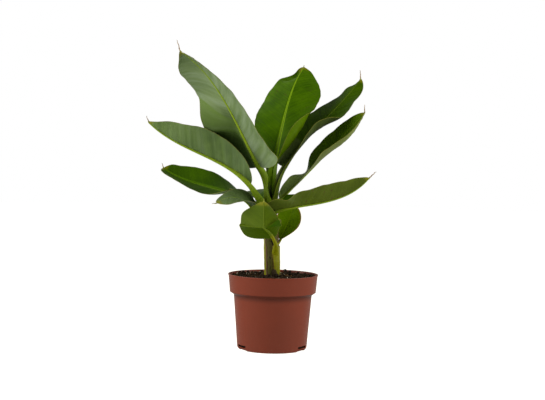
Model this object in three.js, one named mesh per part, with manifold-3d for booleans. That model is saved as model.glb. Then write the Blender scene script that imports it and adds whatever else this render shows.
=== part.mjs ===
// A young banana plant in a terracotta-coloured nursery pot.
// Millimetres, +Z up. The origin is the centre of the pot's flat underside and the front faces -Y.
import * as THREE from "three";
import { mergeVertices } from "three/addons/utils/BufferGeometryUtils.js";
import Module from "manifold-3d";

const wasm = await Module();
wasm.setup();
const { Manifold, Mesh: SolidMesh } = wasm;

// ---- Driving dimensions ----------------------------------------------------------------------

const GAP = 0.3; // clearance between touching pieces
const SEGMENTS = 32; // facets round the pot and the soil

const POT = {
  footRadius: 61, // edge of the flat underside
  heelRadius: 66, // body just above the rounded foot
  heelHeight: 6,
  neckRadius: 73.8, // body just under the rim band
  neckHeight: 103,
  bandRadius: 81.3, // lower edge of the rim band
  bandHeight: 108,
  rimRadius: 85, // top edge of the rim band
  height: 141.5,
  bead: 2.6, // height of the bead round the top edge
  beadStep: 0.7, // how far the bead stands out
  wall: 2.2,
  floor: 5.8, // top of the inner floor
};
// Drains: a notch in the foot and a hole just above the floor, at the back and at the front's sides.
const DRAIN = { turns: [90, 210, 330], halfWidth: 14, notch: 4.4, hole: 4.5, depth: 16 };

const SOIL_TOP = 137;

const STEM = {
  top: 262,
  axisX: -1.3, // axis at the soil
  lean: -0.0474, // sideways drift of the axis for each millimetre of height
  radii: [15.3, 15.1, 14.8, 13.4], // from the soil to the fork
  sides: 16,
};

const BLADE = {
  thickness: 1.2,
  rows: 13, // steps from base to tip
  columns: [0, 0.4, 0.75, 1], // places across one half
  sweep: 18, // degrees by which the side veins lean towards the tip
  endWidth: 1.6, // half width kept at the very ends
};
const STALK = { sides: 6, steps: 5, root: 6.6, neck: 4.8, rib: 2.2, tip: 0.9, shoulder: 0.15 };

// Each leaf: where its blade starts, its length, how the midrib runs (degrees, at the base, the
// middle and the tip: heading round the plant from +X, rise above level, roll about itself), where
// it is widest, how full its two ends are, and its two halves. A half has a width, the fold of its
// inner part and the extra curl of its outer part at base, middle and tip. A wave is a local change
// of a half: where along the leaf, how far it spreads, and what it adds to fold, width and lip.
// The girth scales the stalk and the rib, the root is where the stalk leaves the stem, and the tail
// is the dry thread at the tip.
const LEAVES = [
  {
    name: "upper_left", base: [-30, -14, 343], length: 281, widest: 0.28, ends: [3.4, 2.8],
    heading: [241, 220, 211], rise: [42, 53, 26], roll: [-4, 2, -4],
    left: { width: 84, fold: [-16, -3, -10], curl: [-22, -25, -18] },
    right: {
      width: 59, fold: [-21, 2, -50], curl: [-22, -12, -50],
      waves: [{ at: 0.38, spread: 0.12, fold: -50, width: 0, lip: 0 }],
    },
    girth: 1.15, root: [-11, -6, 246], tail: { length: 20, heading: 190, rise: 75 },
  },
  {
    name: "left", base: [-27, -14, 285], length: 260, widest: 0.54, ends: [1.3, 1.4],
    heading: [199, 200, 204], rise: [58, 23, 43], roll: [0, 2, 7],
    left: {
      width: 50, fold: [20, 61, 33], curl: [-15, 3, -9],
      waves: [{ at: 0.87, spread: 0.07, fold: 16, width: 0, lip: 0 }],
    },
    right: { width: 50, fold: [25, 25, 25], curl: [-10, -10, -10] },
    girth: 1.1, root: [-13, -9, 238], tail: { length: 11, heading: 190, rise: 70 },
  },
  {
    name: "lower_left", base: [-50, 10, 282], length: 187, widest: 0.42, ends: [1.4, 1.6],
    heading: [164, 160, 157], rise: [21, 12, 33], roll: [-2, -3, 4],
    left: {
      width: 47, fold: [0, 0, 0], curl: [-13, -3, -3],
      waves: [{ at: 0.34, spread: 0.25, fold: -21, width: 0, lip: 27 }],
    },
    right: { width: 52, fold: [3, 35, 34], curl: [-24, 3, 4] },
    girth: 0.8, root: [-13, 3, 240], tail: { length: 9, heading: 175, rise: 75 },
  },
  {
    name: "small_left", base: [-42, -20, 266], length: 82, widest: 0.51, ends: [2.2, 2.4],
    heading: [213, 211, 208], rise: [49, 9, -38], roll: [0, 0, 0],
    left: { width: 30, fold: [16, -9, -10], curl: [-5, -17, -12] },
    right: { width: 21, fold: [29, 8, 8], curl: [3, -3, -2] },
    girth: 0.6, root: [-12, -8, 232], tail: { length: 6, heading: 200, rise: -10 },
  },
  {
    name: "upper_right", base: [-2, 14, 351], length: 238, widest: 0.62, ends: [1.5, 1.5],
    heading: [68, 69, 57], rise: [61, 56, 39], roll: [-10, 1, -6],
    left: {
      width: 76, fold: [46, -12, -4], curl: [22, -9, 10],
      waves: [{ at: 0.94, spread: 0.08, fold: -50, width: 0, lip: 120 }],
    },
    right: { width: 61, fold: [28, -6, -20], curl: [12, -11, -15] },
    girth: 1.45, root: [-6, 4, 250], tail: { length: 4, heading: 57, rise: 60 },
  },
  {
    name: "high_right", base: [17, 6, 344], length: 262, widest: 0.27, ends: [3.4, 1.6],
    heading: [54, 37, 27], rise: [43, 40, 51], roll: [8, 0, -3],
    left: {
      width: 58, fold: [11, 13, -14], curl: [-14, -5, -15],
      waves: [{ at: 0.89, spread: 0.06, fold: 10, width: 0, lip: 0 }],
    },
    right: {
      width: 56, fold: [23, 2, -43], curl: [5, 47, -17],
      waves: [{ at: 0.55, spread: 0.14, fold: -24, width: 0, lip: 0 }],
    },
    girth: 1.2, root: [-1, 0, 248], tail: { length: 17, heading: 150, rise: 84 },
  },
  {
    name: "right", base: [10, -2, 283], length: 240, widest: 0.56, ends: [2.4, 1.8],
    heading: [31, 19, 11], rise: [38, 45, 47], roll: [0, 3, 0],
    left: {
      width: 39, fold: [32, 25, 29], curl: [-14, 0, 4],
      waves: [{ at: 0.31, spread: 0.08, fold: -27, width: -0.45, lip: 0 }],
    },
    right: {
      width: 56, fold: [1, 26, 8], curl: [-11, 17, 24],
      waves: [{ at: 0.71, spread: 0.3, fold: -41, width: 0, lip: 33 }],
    },
    girth: 0.9, root: [1, 0, 240], tail: { length: 15, heading: 90, rise: 85 },
  },
  {
    name: "lower_right", base: [3, -16, 261], length: 196, widest: 0.57, ends: [1.4, 1.3],
    heading: [-33, -17, -8], rise: [18, 13, 53], roll: [-4, -1, 0],
    left: { width: 42, fold: [30, 20, 15], curl: [0, 0, 0] },
    right: {
      width: 49, fold: [34, 41, 50], curl: [-5, -6, 4],
      waves: [{ at: 0.18, spread: 0.07, fold: -14, width: 0, lip: 0 }],
    },
    girth: 0.8, root: [-2, -8, 232], tail: { length: 17, heading: -5, rise: 45 },
  },
  {
    name: "small_front", base: [1, -34, 210], length: 88, widest: 0.26, ends: [3.2, 1.3],
    heading: [-124, -118, -105], rise: [49, 17, 22], roll: [-10, -2, -4],
    crease: { at: 0.42, spread: 0.035, bend: 68 },
    left: { width: 37, fold: [28, 22, 32], curl: [25, 20, 26] },
    right: { width: 54, fold: [-8, 4, 16], curl: [0, 4, 12] },
    girth: 0.75, root: [8, -12, 150], tail: { length: 3, heading: 90, rise: 70 },
  },
  {
    name: "small_right", base: [12, 4, 206], length: 73, widest: 0.43, ends: [2.3, 1.9],
    heading: [39, 48, 57], rise: [52, 62, 67], roll: [0, -3, 2],
    left: { width: 15, fold: [15, 21, 19], curl: [-4, 1, -1] },
    right: { width: 28, fold: [7, -1, 15], curl: [-2, -9, 4] },
    girth: 0.6, root: [9, -2, 150], tail: { length: 3, heading: 50, rise: 70 },
  },
  {
    name: "back", base: [-14, 30, 346], length: 190, widest: 0.45, ends: [2.4, 2],
    heading: [104, 100, 96], rise: [46, 24, -14], roll: [0, 0, 0],
    left: { width: 46, fold: [26, 18, 8], curl: [0, -8, -12] },
    right: { width: 46, fold: [26, 18, 8], curl: [0, -8, -12] },
    girth: 1, root: [-9, 7, 244], tail: { length: 10, heading: 96, rise: -20 },
  },
  {
    name: "lower_back", base: [-28, 20, 281], length: 125, widest: 0.45, ends: [2.2, 2],
    heading: [120, 122, 126], rise: [14, 2, -12], roll: [0, 0, 0],
    left: { width: 34, fold: [16, 14, 6], curl: [0, -6, -10] },
    right: { width: 36, fold: [24, 14, 6], curl: [0, -6, -10] },
    girth: 0.8, root: [-12, 7, 236], tail: { length: 8, heading: 134, rise: -20 },
  },
];

// ---- Finishes --------------------------------------------------------------------------------

const finish = (color, roughness) => new THREE.MeshStandardMaterial({ color, roughness, metalness: 0 });
const FINISHES = {
  pot: finish(0x8a4a38, 0.55),
  soil: finish(0x2a2016, 1),
  stem: finish(0x7c7c38, 0.6),
  stalk: finish(0x86a232, 0.5),
  blade: finish(0x4a7a2e, 0.5),
};

// ---- Small maths -----------------------------------------------------------------------------

const radians = THREE.MathUtils.degToRad;
const vec = (xyz) => new THREE.Vector3(...xyz);
const step = (x) => THREE.MathUtils.smoothstep(x, 0, 1);
const bump = (s, wave) => Math.exp(-(((s - wave.at) / wave.spread) ** 2));

/** A value that runs smoothly through the three given at the base, the middle and the tip. */
function along([base, middle, tip], s) {
  return base * (1 - s) * (1 - 2 * s) + middle * 4 * s * (1 - s) + tip * s * (2 * s - 1);
}

/** The direction with a heading round +Z from +X and a rise above level, both in degrees. */
function direction(heading, rise) {
  const [h, r] = [radians(heading), radians(rise)];
  return new THREE.Vector3(Math.cos(r) * Math.cos(h), Math.cos(r) * Math.sin(h), Math.sin(r));
}

// ---- Solids ----------------------------------------------------------------------------------

/** A solid from a closed geometry, with its shared corners merged and its flat slivers dropped. */
function solidOf(geometry) {
  for (const name of ["normal", "uv"]) geometry.deleteAttribute(name);
  const merged = mergeVertices(geometry);
  const index = merged.getIndex().array;
  const triangles = [];
  for (let i = 0; i < index.length; i += 3) {
    const corners = index.slice(i, i + 3);
    if (new Set(corners).size === 3) triangles.push(...corners);
  }
  return new Manifold(new SolidMesh({
    numProp: 3,
    vertProperties: new Float32Array(merged.getAttribute("position").array),
    triVerts: new Uint32Array(triangles),
  }));
}

/** A solid from corner points and triangles that already close. */
function solidFrom(points, triangles) {
  return solidOf(new THREE.BufferGeometry().setFromPoints(points).setIndex(triangles.flat()));
}

/** A solid through closed rings of equal count, capped at both ends. */
function solidThroughRings(rings) {
  const count = rings[0].length;
  const points = rings.flat();
  const triangles = [];
  for (let r = 0; r < rings.length - 1; r++) {
    for (let i = 0; i < count; i++) {
      const [a, b] = [r * count + i, r * count + ((i + 1) % count)];
      triangles.push([a, b, b + count], [a, b + count, a + count]);
    }
  }
  const last = (rings.length - 1) * count;
  for (let i = 1; i < count - 1; i++) {
    triangles.push([0, i + 1, i], [last, last + i, last + i + 1]);
  }
  return solidFrom(points, triangles);
}

/** A solid of revolution about +Z from a profile of [radius, height] points. */
function revolved(profile) {
  const outline = profile.map(([radius, height]) => new THREE.Vector2(radius, height));
  return solidOf(new THREE.LatheGeometry(outline, SEGMENTS).rotateX(Math.PI / 2));
}

/** The largest single piece of a solid. */
function largest(solid) {
  return solid.decompose().reduce((a, b) => (b.volume() > a.volume() ? b : a));
}

// ---- Pot and soil ----------------------------------------------------------------------------

/** The inside of the pot as [radius, height] points, moved in from the wall by a clearance. */
function potInside(clearance, top) {
  const w = POT.wall + clearance;
  const slope = (POT.rimRadius - POT.bandRadius) / (POT.height - POT.bandHeight);
  return [
    [0, POT.floor + clearance],
    [POT.heelRadius - w, POT.floor + clearance],
    [POT.neckRadius - w, POT.neckHeight + 1.2 + clearance],
    [POT.bandRadius - w, POT.bandHeight + 2 + clearance],
    [POT.bandRadius - w + slope * (top - POT.bandHeight - 2), top],
  ];
}

/** A box across the pot's foot between two heights, turned round the axis to a drain's place. */
function footCut(turn, bottom, top) {
  return solidOf(new THREE.BoxGeometry(DRAIN.depth, DRAIN.halfWidth * 2, top - bottom)
    .translate(POT.heelRadius, 0, (bottom + top) / 2)
    .rotateZ(radians(turn)));
}

/** The pot: one shell with a stepped rim, notches in its foot and drain holes above its floor. */
function potSolid() {
  const beadBase = POT.height - POT.bead;
  const outside = [
    [0, 0],
    [POT.footRadius, 0],
    [POT.heelRadius - 1.6, 2],
    [POT.heelRadius, POT.heelHeight],
    [POT.neckRadius, POT.neckHeight],
    [POT.bandRadius, POT.bandHeight],
    [POT.rimRadius - POT.beadStep, beadBase],
    [POT.rimRadius, beadBase + POT.beadStep],
    [POT.rimRadius, POT.height],
  ];
  const shell = revolved([...outside, ...potInside(0, POT.height).reverse()]);
  return DRAIN.turns.reduce((pot, turn) => pot
    .subtract(footCut(turn, -1, DRAIN.notch))
    .subtract(footCut(turn, POT.floor, POT.floor + DRAIN.hole)), shell);
}

/** The soil, which fills the pot up to its level. */
function soilSolid() {
  return revolved([...potInside(GAP, SOIL_TOP), [0, SOIL_TOP]]);
}

// ---- Stem and stalks -------------------------------------------------------------------------

/** The stem's rings, from its flat cut at the soil to the fork, widened by a clearance. */
function stemSolid(clearance) {
  const bottom = SOIL_TOP + GAP - clearance;
  const height = STEM.top + clearance - bottom;
  const rings = STEM.radii.map((radius, i) => {
    const z = bottom + (height * i) / (STEM.radii.length - 1);
    return Array.from({ length: STEM.sides }, (_, k) => {
      const turn = (2 * Math.PI * k) / STEM.sides;
      const x = STEM.axisX + STEM.lean * (z - SOIL_TOP);
      return new THREE.Vector3(
        x + (radius + clearance) * Math.cos(turn), (radius + clearance) * Math.sin(turn), z);
    });
  });
  return solidThroughRings(rings);
}

/** A tapering limb round a path of {point, radius}, widened and lengthened by a clearance. */
function limbSolid(path, clearance) {
  const last = path.length - 1;
  const tangents = path.map((_, i) => path[Math.min(i + 1, last)].point.clone()
    .sub(path[Math.max(i - 1, 0)].point).normalize());
  let side = new THREE.Vector3(1, 0, 0);
  const rings = path.map(({ point, radius }, i) => {
    side = side.clone().addScaledVector(tangents[i], -side.dot(tangents[i])).normalize();
    const up = tangents[i].clone().cross(side);
    const beyond = clearance * (Number(i === last) - Number(i === 0));
    const centre = point.clone().addScaledVector(tangents[i], beyond);
    return Array.from({ length: STALK.sides }, (_, k) => {
      const turn = (2 * Math.PI * k) / STALK.sides;
      return centre.clone()
        .addScaledVector(side, (radius + clearance) * Math.cos(turn))
        .addScaledVector(up, (radius + clearance) * Math.sin(turn));
    });
  });
  return solidThroughRings(rings);
}

// ---- Leaf blades -----------------------------------------------------------------------------

/** Half width of a blade as a share of its greatest, at a place from base (0) to tip (1). */
function fullness(leaf, s) {
  const [baseEnd, tipEnd] = leaf.ends;
  if (s < leaf.widest) return Math.sqrt(Math.max(1 - ((leaf.widest - s) / leaf.widest) ** baseEnd, 0));
  return Math.max(1 - ((s - leaf.widest) / (1 - leaf.widest)) ** tipEnd, 0) ** 0.65;
}

/** The run of the midrib, the leaf's own right-hand side and its upper side at a place. */
function leafFrame(leaf, s) {
  const crease = leaf.crease
    ? leaf.crease.bend / (1 + Math.exp(-(s - leaf.crease.at) / leaf.crease.spread)) : 0;
  const heading = along(leaf.heading, s);
  const run = direction(heading, along(leaf.rise, s) + crease);
  const right = new THREE.Vector3(Math.sin(radians(heading)), -Math.cos(radians(heading)), 0);
  const upper = right.clone().cross(run);
  const roll = radians(along(leaf.roll, s));
  return {
    run,
    right: right.clone().multiplyScalar(Math.cos(roll)).addScaledVector(upper, Math.sin(roll)),
    upper: upper.clone().multiplyScalar(Math.cos(roll)).addScaledVector(right, -Math.sin(roll)),
  };
}

/** Points of the midrib at equal steps from base to tip. */
function midrib(leaf) {
  const points = [vec(leaf.base)];
  for (let i = 0; i < BLADE.rows; i++) {
    const { run } = leafFrame(leaf, (i + 0.5) / BLADE.rows);
    points.push(points[i].clone().addScaledVector(run, leaf.length / BLADE.rows));
  }
  return points;
}

/** One row of a half blade, from the midrib out to the margin. */
function halfRow(leaf, half, hand, s, start) {
  const frame = leafFrame(leaf, s);
  const change = { fold: 0, width: 0, lip: 0 };
  for (const wave of half.waves ?? []) {
    for (const key of Object.keys(change)) change[key] += wave[key] * bump(s, wave);
  }
  const width = Math.max(half.width * fullness(leaf, s) * (1 + change.width), BLADE.endWidth);
  const sweep = radians(BLADE.sweep);
  const outward = frame.right.clone().multiplyScalar(hand * Math.cos(sweep))
    .addScaledVector(frame.run, Math.sin(sweep));
  const steps = 20;
  const point = start.clone();
  const row = [point.clone()];
  for (let j = 0; j < steps; j++) {
    const t = (j + 0.5) / steps;
    const fold = along(half.fold, s) + change.fold + along(half.curl, s) * t;
    const turn = radians(fold + change.lip * step((t - 0.45) / 0.5));
    point.addScaledVector(outward, (Math.cos(turn) * width) / steps)
      .addScaledVector(frame.upper, (Math.sin(turn) * width) / steps);
    if (BLADE.columns.includes((j + 1) / steps)) row.push(point.clone());
  }
  return row;
}

/** The blade's middle surface as rows of points from its left margin to its right margin. */
function bladeRows(leaf) {
  return midrib(leaf).map((start, i) => {
    const s = i / BLADE.rows;
    const left = halfRow(leaf, leaf.left, -1, s, start);
    const right = halfRow(leaf, leaf.right, 1, s, start);
    return [...left.reverse(), ...right.slice(1)];
  });
}

/** A thin closed blade, thickened evenly to both sides of its middle surface. */
function bladeSolid(leaf, clearance) {
  const rows = bladeRows(leaf);
  const [last, columns] = [rows.length - 1, rows[0].length];
  const half = BLADE.thickness / 2 + clearance;
  const normal = (i, j) => {
    const down = rows[Math.min(i + 1, last)][j].clone().sub(rows[Math.max(i - 1, 0)][j]);
    const across = rows[i][Math.min(j + 1, columns - 1)].clone().sub(rows[i][Math.max(j - 1, 0)]);
    return across.cross(down).normalize();
  };
  const rings = rows.map((row, i) => {
    const upper = row.map((p, j) => p.clone().addScaledVector(normal(i, j), half));
    const lower = row.map((p, j) => p.clone().addScaledVector(normal(i, j), -half));
    return [...upper, ...lower.reverse()];
  });
  const shape = solidThroughStrips(rings, columns);
  return clearance > 0 ? shape : largest(shape);
}

/** Like solidThroughRings, with each end closed by a strip between its lower and upper points. */
function solidThroughStrips(rings, columns) {
  const count = 2 * columns;
  const triangles = [];
  for (let r = 0; r < rings.length - 1; r++) {
    for (let i = 0; i < count; i++) {
      const [a, b] = [r * count + i, r * count + ((i + 1) % count)];
      triangles.push([a, b, b + count], [a, b + count, a + count]);
    }
  }
  const last = (rings.length - 1) * count;
  for (let j = 0; j < columns - 1; j++) {
    const [a, b, c, d] = [j, j + 1, count - 2 - j, count - 1 - j];
    triangles.push([a, c, b], [a, d, c], [last + a, last + b, last + c], [last + a, last + c, last + d]);
  }
  return solidFrom(rings.flat(), triangles);
}

/** How far a limb's axis lies under the blade's middle surface, so that the two keep their gap. */
const underBlade = (radius) => radius + BLADE.thickness / 2 + GAP + 0.1;

/** The end of a leaf's stalk, just under the place where its blade begins. */
function neckPoint(leaf) {
  return vec(leaf.base).addScaledVector(leafFrame(leaf, 0).upper, -underBlade(leaf.girth * STALK.neck));
}

/** A leaf's stalk: up out of the stem and over into the run of its midrib. */
function stalkPath(leaf) {
  const [root, neck] = [vec(leaf.root), neckPoint(leaf)];
  const reach = 0.4 * neck.distanceTo(root);
  const curve = new THREE.CubicBezierCurve3(
    root,
    root.clone().addScaledVector(new THREE.Vector3(STEM.lean, 0, 1), reach),
    neck.clone().addScaledVector(leafFrame(leaf, 0).run, -reach),
    neck,
  );
  return curve.getPoints(STALK.steps).map((point, i) => ({
    point, radius: leaf.girth * THREE.MathUtils.lerp(STALK.root, STALK.neck, i / STALK.steps),
  }));
}

/** A leaf's rib: on from the stalk under the blade, and past the tip as a dry thread. */
function ribPath(leaf) {
  const neck = neckPoint(leaf).addScaledVector(leafFrame(leaf, 0).run, GAP);
  const path = [{ point: neck, radius: leaf.girth * STALK.neck }];
  midrib(leaf).forEach((point, i) => {
    if (i % 2 === 0) return;
    const s = i / BLADE.rows;
    const radius = s < STALK.shoulder
      ? leaf.girth * THREE.MathUtils.lerp(STALK.neck, STALK.rib, s / STALK.shoulder)
      : THREE.MathUtils.lerp(leaf.girth * STALK.rib, STALK.tip, (s - STALK.shoulder) / (1 - STALK.shoulder));
    path.push({ point: point.addScaledVector(leafFrame(leaf, s).upper, -underBlade(radius)), radius });
  });
  const thread = direction(leaf.tail.heading, leaf.tail.rise).multiplyScalar(leaf.tail.length);
  path.push({ point: path.at(-1).point.clone().add(thread), radius: STALK.tip * 0.6 });
  return path;
}

// ---- The plant -------------------------------------------------------------------------------

/** Cuts a solid clear of every solid placed before it, and keeps its largest piece. */
function clearOf(solid, placed) {
  return largest(placed.reduce((rest, other) => rest.subtract(other), solid));
}

function meshFrom(name, solid, material) {
  const { vertProperties, triVerts, numProp } = solid.getMesh();
  const points = new Float32Array((vertProperties.length / numProp) * 3);
  for (let i = 0; i < points.length / 3; i++) {
    points.set(vertProperties.subarray(i * numProp, i * numProp + 3), i * 3);
  }
  const geometry = new THREE.BufferGeometry();
  geometry.setAttribute("position", new THREE.BufferAttribute(points, 3));
  geometry.setIndex(new THREE.BufferAttribute(new Uint32Array(triVerts), 1));
  geometry.computeVertexNormals();
  const mesh = new THREE.Mesh(geometry, material);
  mesh.name = name;
  return mesh;
}

function build() {
  const plant = new THREE.Group();
  plant.name = "banana_plant";
  plant.add(meshFrom("pot", potSolid(), FINISHES.pot));
  plant.add(meshFrom("soil", soilSolid(), FINISHES.soil));
  plant.add(meshFrom("pseudostem", stemSolid(0), FINISHES.stem));
  const placed = [stemSolid(GAP)];
  const add = (name, shape, material) => {
    plant.add(meshFrom(name, clearOf(shape(0), placed), material));
    placed.push(shape(GAP));
  };
  for (const leaf of LEAVES) {
    add(`stalk_${leaf.name}`, (clearance) => limbSolid(stalkPath(leaf), clearance), FINISHES.stalk);
  }
  for (const leaf of LEAVES) {
    add(`rib_${leaf.name}`, (clearance) => limbSolid(ribPath(leaf), clearance), FINISHES.stalk);
  }
  for (const leaf of LEAVES) {
    add(`blade_${leaf.name}`, (clearance) => bladeSolid(leaf, clearance), FINISHES.blade);
  }
  return plant;
}

export default build();
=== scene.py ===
"""A young banana plant in a terracotta-coloured nursery pot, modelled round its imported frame.

Lengths are in metres and angles in degrees, in the frame of the CAD model: +Z up, the front
towards -Y, and the origin at the centre of the pot's underside.
"""
import logging
import math
from dataclasses import dataclass
from enum import Enum

import bpy
import numpy as np
from mathutils import Matrix, Vector, noise


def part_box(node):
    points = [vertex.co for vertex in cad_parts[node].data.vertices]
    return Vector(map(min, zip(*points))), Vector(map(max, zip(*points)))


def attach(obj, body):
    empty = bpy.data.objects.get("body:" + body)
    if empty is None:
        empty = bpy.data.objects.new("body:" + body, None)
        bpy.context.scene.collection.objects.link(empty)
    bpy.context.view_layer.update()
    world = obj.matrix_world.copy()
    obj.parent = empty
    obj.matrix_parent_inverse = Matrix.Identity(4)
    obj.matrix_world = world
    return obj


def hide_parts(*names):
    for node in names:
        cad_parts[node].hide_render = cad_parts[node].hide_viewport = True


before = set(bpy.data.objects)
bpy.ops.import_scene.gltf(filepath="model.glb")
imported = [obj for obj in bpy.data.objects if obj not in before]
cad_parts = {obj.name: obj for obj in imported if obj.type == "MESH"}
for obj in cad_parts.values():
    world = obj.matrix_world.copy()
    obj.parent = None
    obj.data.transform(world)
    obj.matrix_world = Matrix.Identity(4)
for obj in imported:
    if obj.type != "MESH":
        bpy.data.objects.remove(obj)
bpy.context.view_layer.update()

Triple = tuple[float, float, float]
Colour = tuple[float, float, float]
Array = np.ndarray
Piece = bpy.types.Object
Socket = bpy.types.NodeSocket
BODY = "root"
LOG = logging.getLogger("banana_plant")


class Slot(Enum):
    """The record's material slots."""

    POT = "pot"
    SOIL = "soil"
    STEM = "stem"
    STALK = "stalk"
    BLADE = "blade"
    DRY_TIP = "dry_tip"


# ---- Maths ----


def along(values: Triple, s: Array) -> Array:
    """Runs smoothly through three values.

    Args:
        values: The values at the base, the middle and the tip.
        s: Places from base (0) to tip (1).

    Returns:
        The value at each place.
    """
    base, middle, tip = values
    return base * (1 - s) * (1 - 2 * s) + middle * 4 * s * (1 - s) + tip * s * (2 * s - 1)


def smooth(x: Array) -> Array:
    """Eases from 0 to 1 as x does."""
    x = np.clip(x, 0, 1)
    return x * x * (3 - 2 * x)


def direction(heading: Array, rise: Array) -> Array:
    """Unit vectors from headings round +Z and rises above level, in degrees."""
    h, r = np.radians(heading), np.radians(rise)
    return np.stack([np.cos(r) * np.cos(h), np.cos(r) * np.sin(h), np.sin(r)], -1)


def unit(vectors: Array) -> Array:
    """The same vectors at length 1."""
    return vectors / np.maximum(np.linalg.norm(vectors, axis=-1, keepdims=True), 1e-12)


def ripple(x: Array, seed: int, lengths: tuple[float, ...]) -> Array:
    """An uneven wave, a sum of sines with seeded phases.

    Args:
        x: Places along the wave.
        seed: Picks the phases.
        lengths: The wavelengths of the sines.

    Returns:
        The wave's height at each place, about -1 to 1.
    """
    draw = np.random.default_rng(seed)
    waves = [np.sin(2 * np.pi * (x / length + draw.random())) for length in lengths]
    return sum(waves) / len(waves) ** 0.5


# ---- Mesh tools ----


def only(piece: Piece) -> None:
    """Makes a piece the only selected one, and the active one.

    Args:
        piece: The piece.
    """
    bpy.ops.object.select_all(action="DESELECT")
    piece.select_set(True)
    bpy.context.view_layer.objects.active = piece


def move_corners(piece: Piece, places: Array) -> None:
    """Moves the corners of a piece to new places, in their order."""
    piece.data.vertices.foreach_set("co", places.astype(np.float32).ravel())
    piece.data.update()


def shaped_grid(name: str, places: Array) -> Piece:
    """Adds a grid and moves its corners to their places.

    Args:
        name: The piece's name.
        places: The places, as rows x columns x 3.

    Returns:
        The new sheet, whose map runs along the columns in x and along the rows in y.
    """
    rows, columns = places.shape[:2]
    bpy.ops.object.select_all(action="DESELECT")
    bpy.ops.mesh.primitive_grid_add(x_subdivisions=columns - 1, y_subdivisions=rows - 1, size=2)
    piece = bpy.context.active_object
    piece.name = piece.data.name = name
    move_corners(piece, places)
    return piece


def store(piece: Piece, **numbers: Array) -> None:
    """Stores numbers for the corners of a piece.

    Args:
        piece: The piece.
        numbers: One number for each corner, under the name that its finish reads.
    """
    for name, values in numbers.items():
        layer = piece.data.attributes.new(name, "FLOAT", "POINT")
        layer.data.foreach_set("value", values.astype(np.float32).ravel())


def apply_modifier(piece: Piece, kind: str, **settings: object) -> None:
    """Adds a modifier to a piece, sets it up and applies it.

    Args:
        piece: The piece.
        kind: The modifier's type.
        settings: The modifier's own properties.
    """
    only(piece)
    modifier = piece.modifiers.new(kind.lower(), kind)
    for key, value in settings.items():
        setattr(modifier, key, value)
    bpy.ops.object.modifier_apply(modifier=modifier.name)


def close_tube(piece: Piece) -> None:
    """Welds a sheet whose first and last columns meet into a tube, and caps its ends.

    Args:
        piece: The sheet.
    """
    only(piece)
    bpy.ops.object.mode_set(mode="EDIT")
    bpy.ops.mesh.select_all(action="SELECT")
    bpy.ops.mesh.remove_doubles(threshold=1e-6)
    bpy.ops.mesh.fill_holes(sides=0)
    bpy.ops.mesh.select_all(action="SELECT")
    bpy.ops.mesh.normals_make_consistent(inside=False)
    bpy.ops.object.mode_set(mode="OBJECT")


def smooth_by_angle(piece: Piece, angle: float = 40) -> None:
    """Shades a piece smooth but for edges sharper than an angle in degrees."""
    only(piece)
    bpy.ops.object.shade_smooth_by_angle(angle=math.radians(angle))


def hand_over(piece: Piece, slot: Slot, *nodes: str) -> None:
    """Ties a finished piece to the frame.

    Args:
        piece: The piece, in its place.
        slot: The material slot meant for its finish; not used.
        nodes: The CAD nodes that it stands for.
    """
    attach(piece, BODY)
    if nodes:
        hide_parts(*nodes)
    LOG.info("%s: %d faces, stands for %s", piece.name, len(piece.data.polygons), list(nodes) or "none")


def rotations(turns: Array) -> Array:
    """Turns quaternions into rotation matrices.

    Args:
        turns: Rows of w, x, y and z, of any length but 0.

    Returns:
        The matrices, as count x 3 x 3.
    """
    w, x, y, z = (turns / np.linalg.norm(turns, axis=1, keepdims=True)).T
    return np.array([
        [1 - 2 * (y * y + z * z), 2 * (x * y - w * z), 2 * (x * z + w * y)],
        [2 * (x * y + w * z), 1 - 2 * (x * x + z * z), 2 * (y * z - w * x)],
        [2 * (x * z - w * y), 2 * (y * z + w * x), 1 - 2 * (x * x + y * y)],
    ]).transpose(2, 0, 1)


def scattered(name: str, pattern: Piece, places: Array, sizes: Array,
              seed: int) -> Piece:
    """Makes one mesh of many turned copies of a small shape.

    Args:
        name: The new piece's name.
        pattern: The shape, about 1 m across round the origin, which becomes the piece.
        places: Where each copy goes, as count x 3.
        sizes: The size of each copy along its own three axes, as count x 3.
        seed: Picks how the copies are turned.

    Returns:
        The joined piece.
    """
    draw = np.random.default_rng(seed)
    corners = np.array([v.co for v in pattern.data.vertices])
    turned = rotations(draw.normal(size=(len(places), 4)))
    copies = np.einsum("nij,nkj->nki", turned, corners[None] * sizes[:, None]) + places[:, None]
    apply_modifier(pattern, "ARRAY", count=len(places), use_relative_offset=False)
    move_corners(pattern, copies)
    pattern.name = pattern.data.name = name
    store(pattern, lot=np.repeat(draw.random(len(places)), len(corners)))
    return pattern


# ---- Finishes ----


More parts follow.
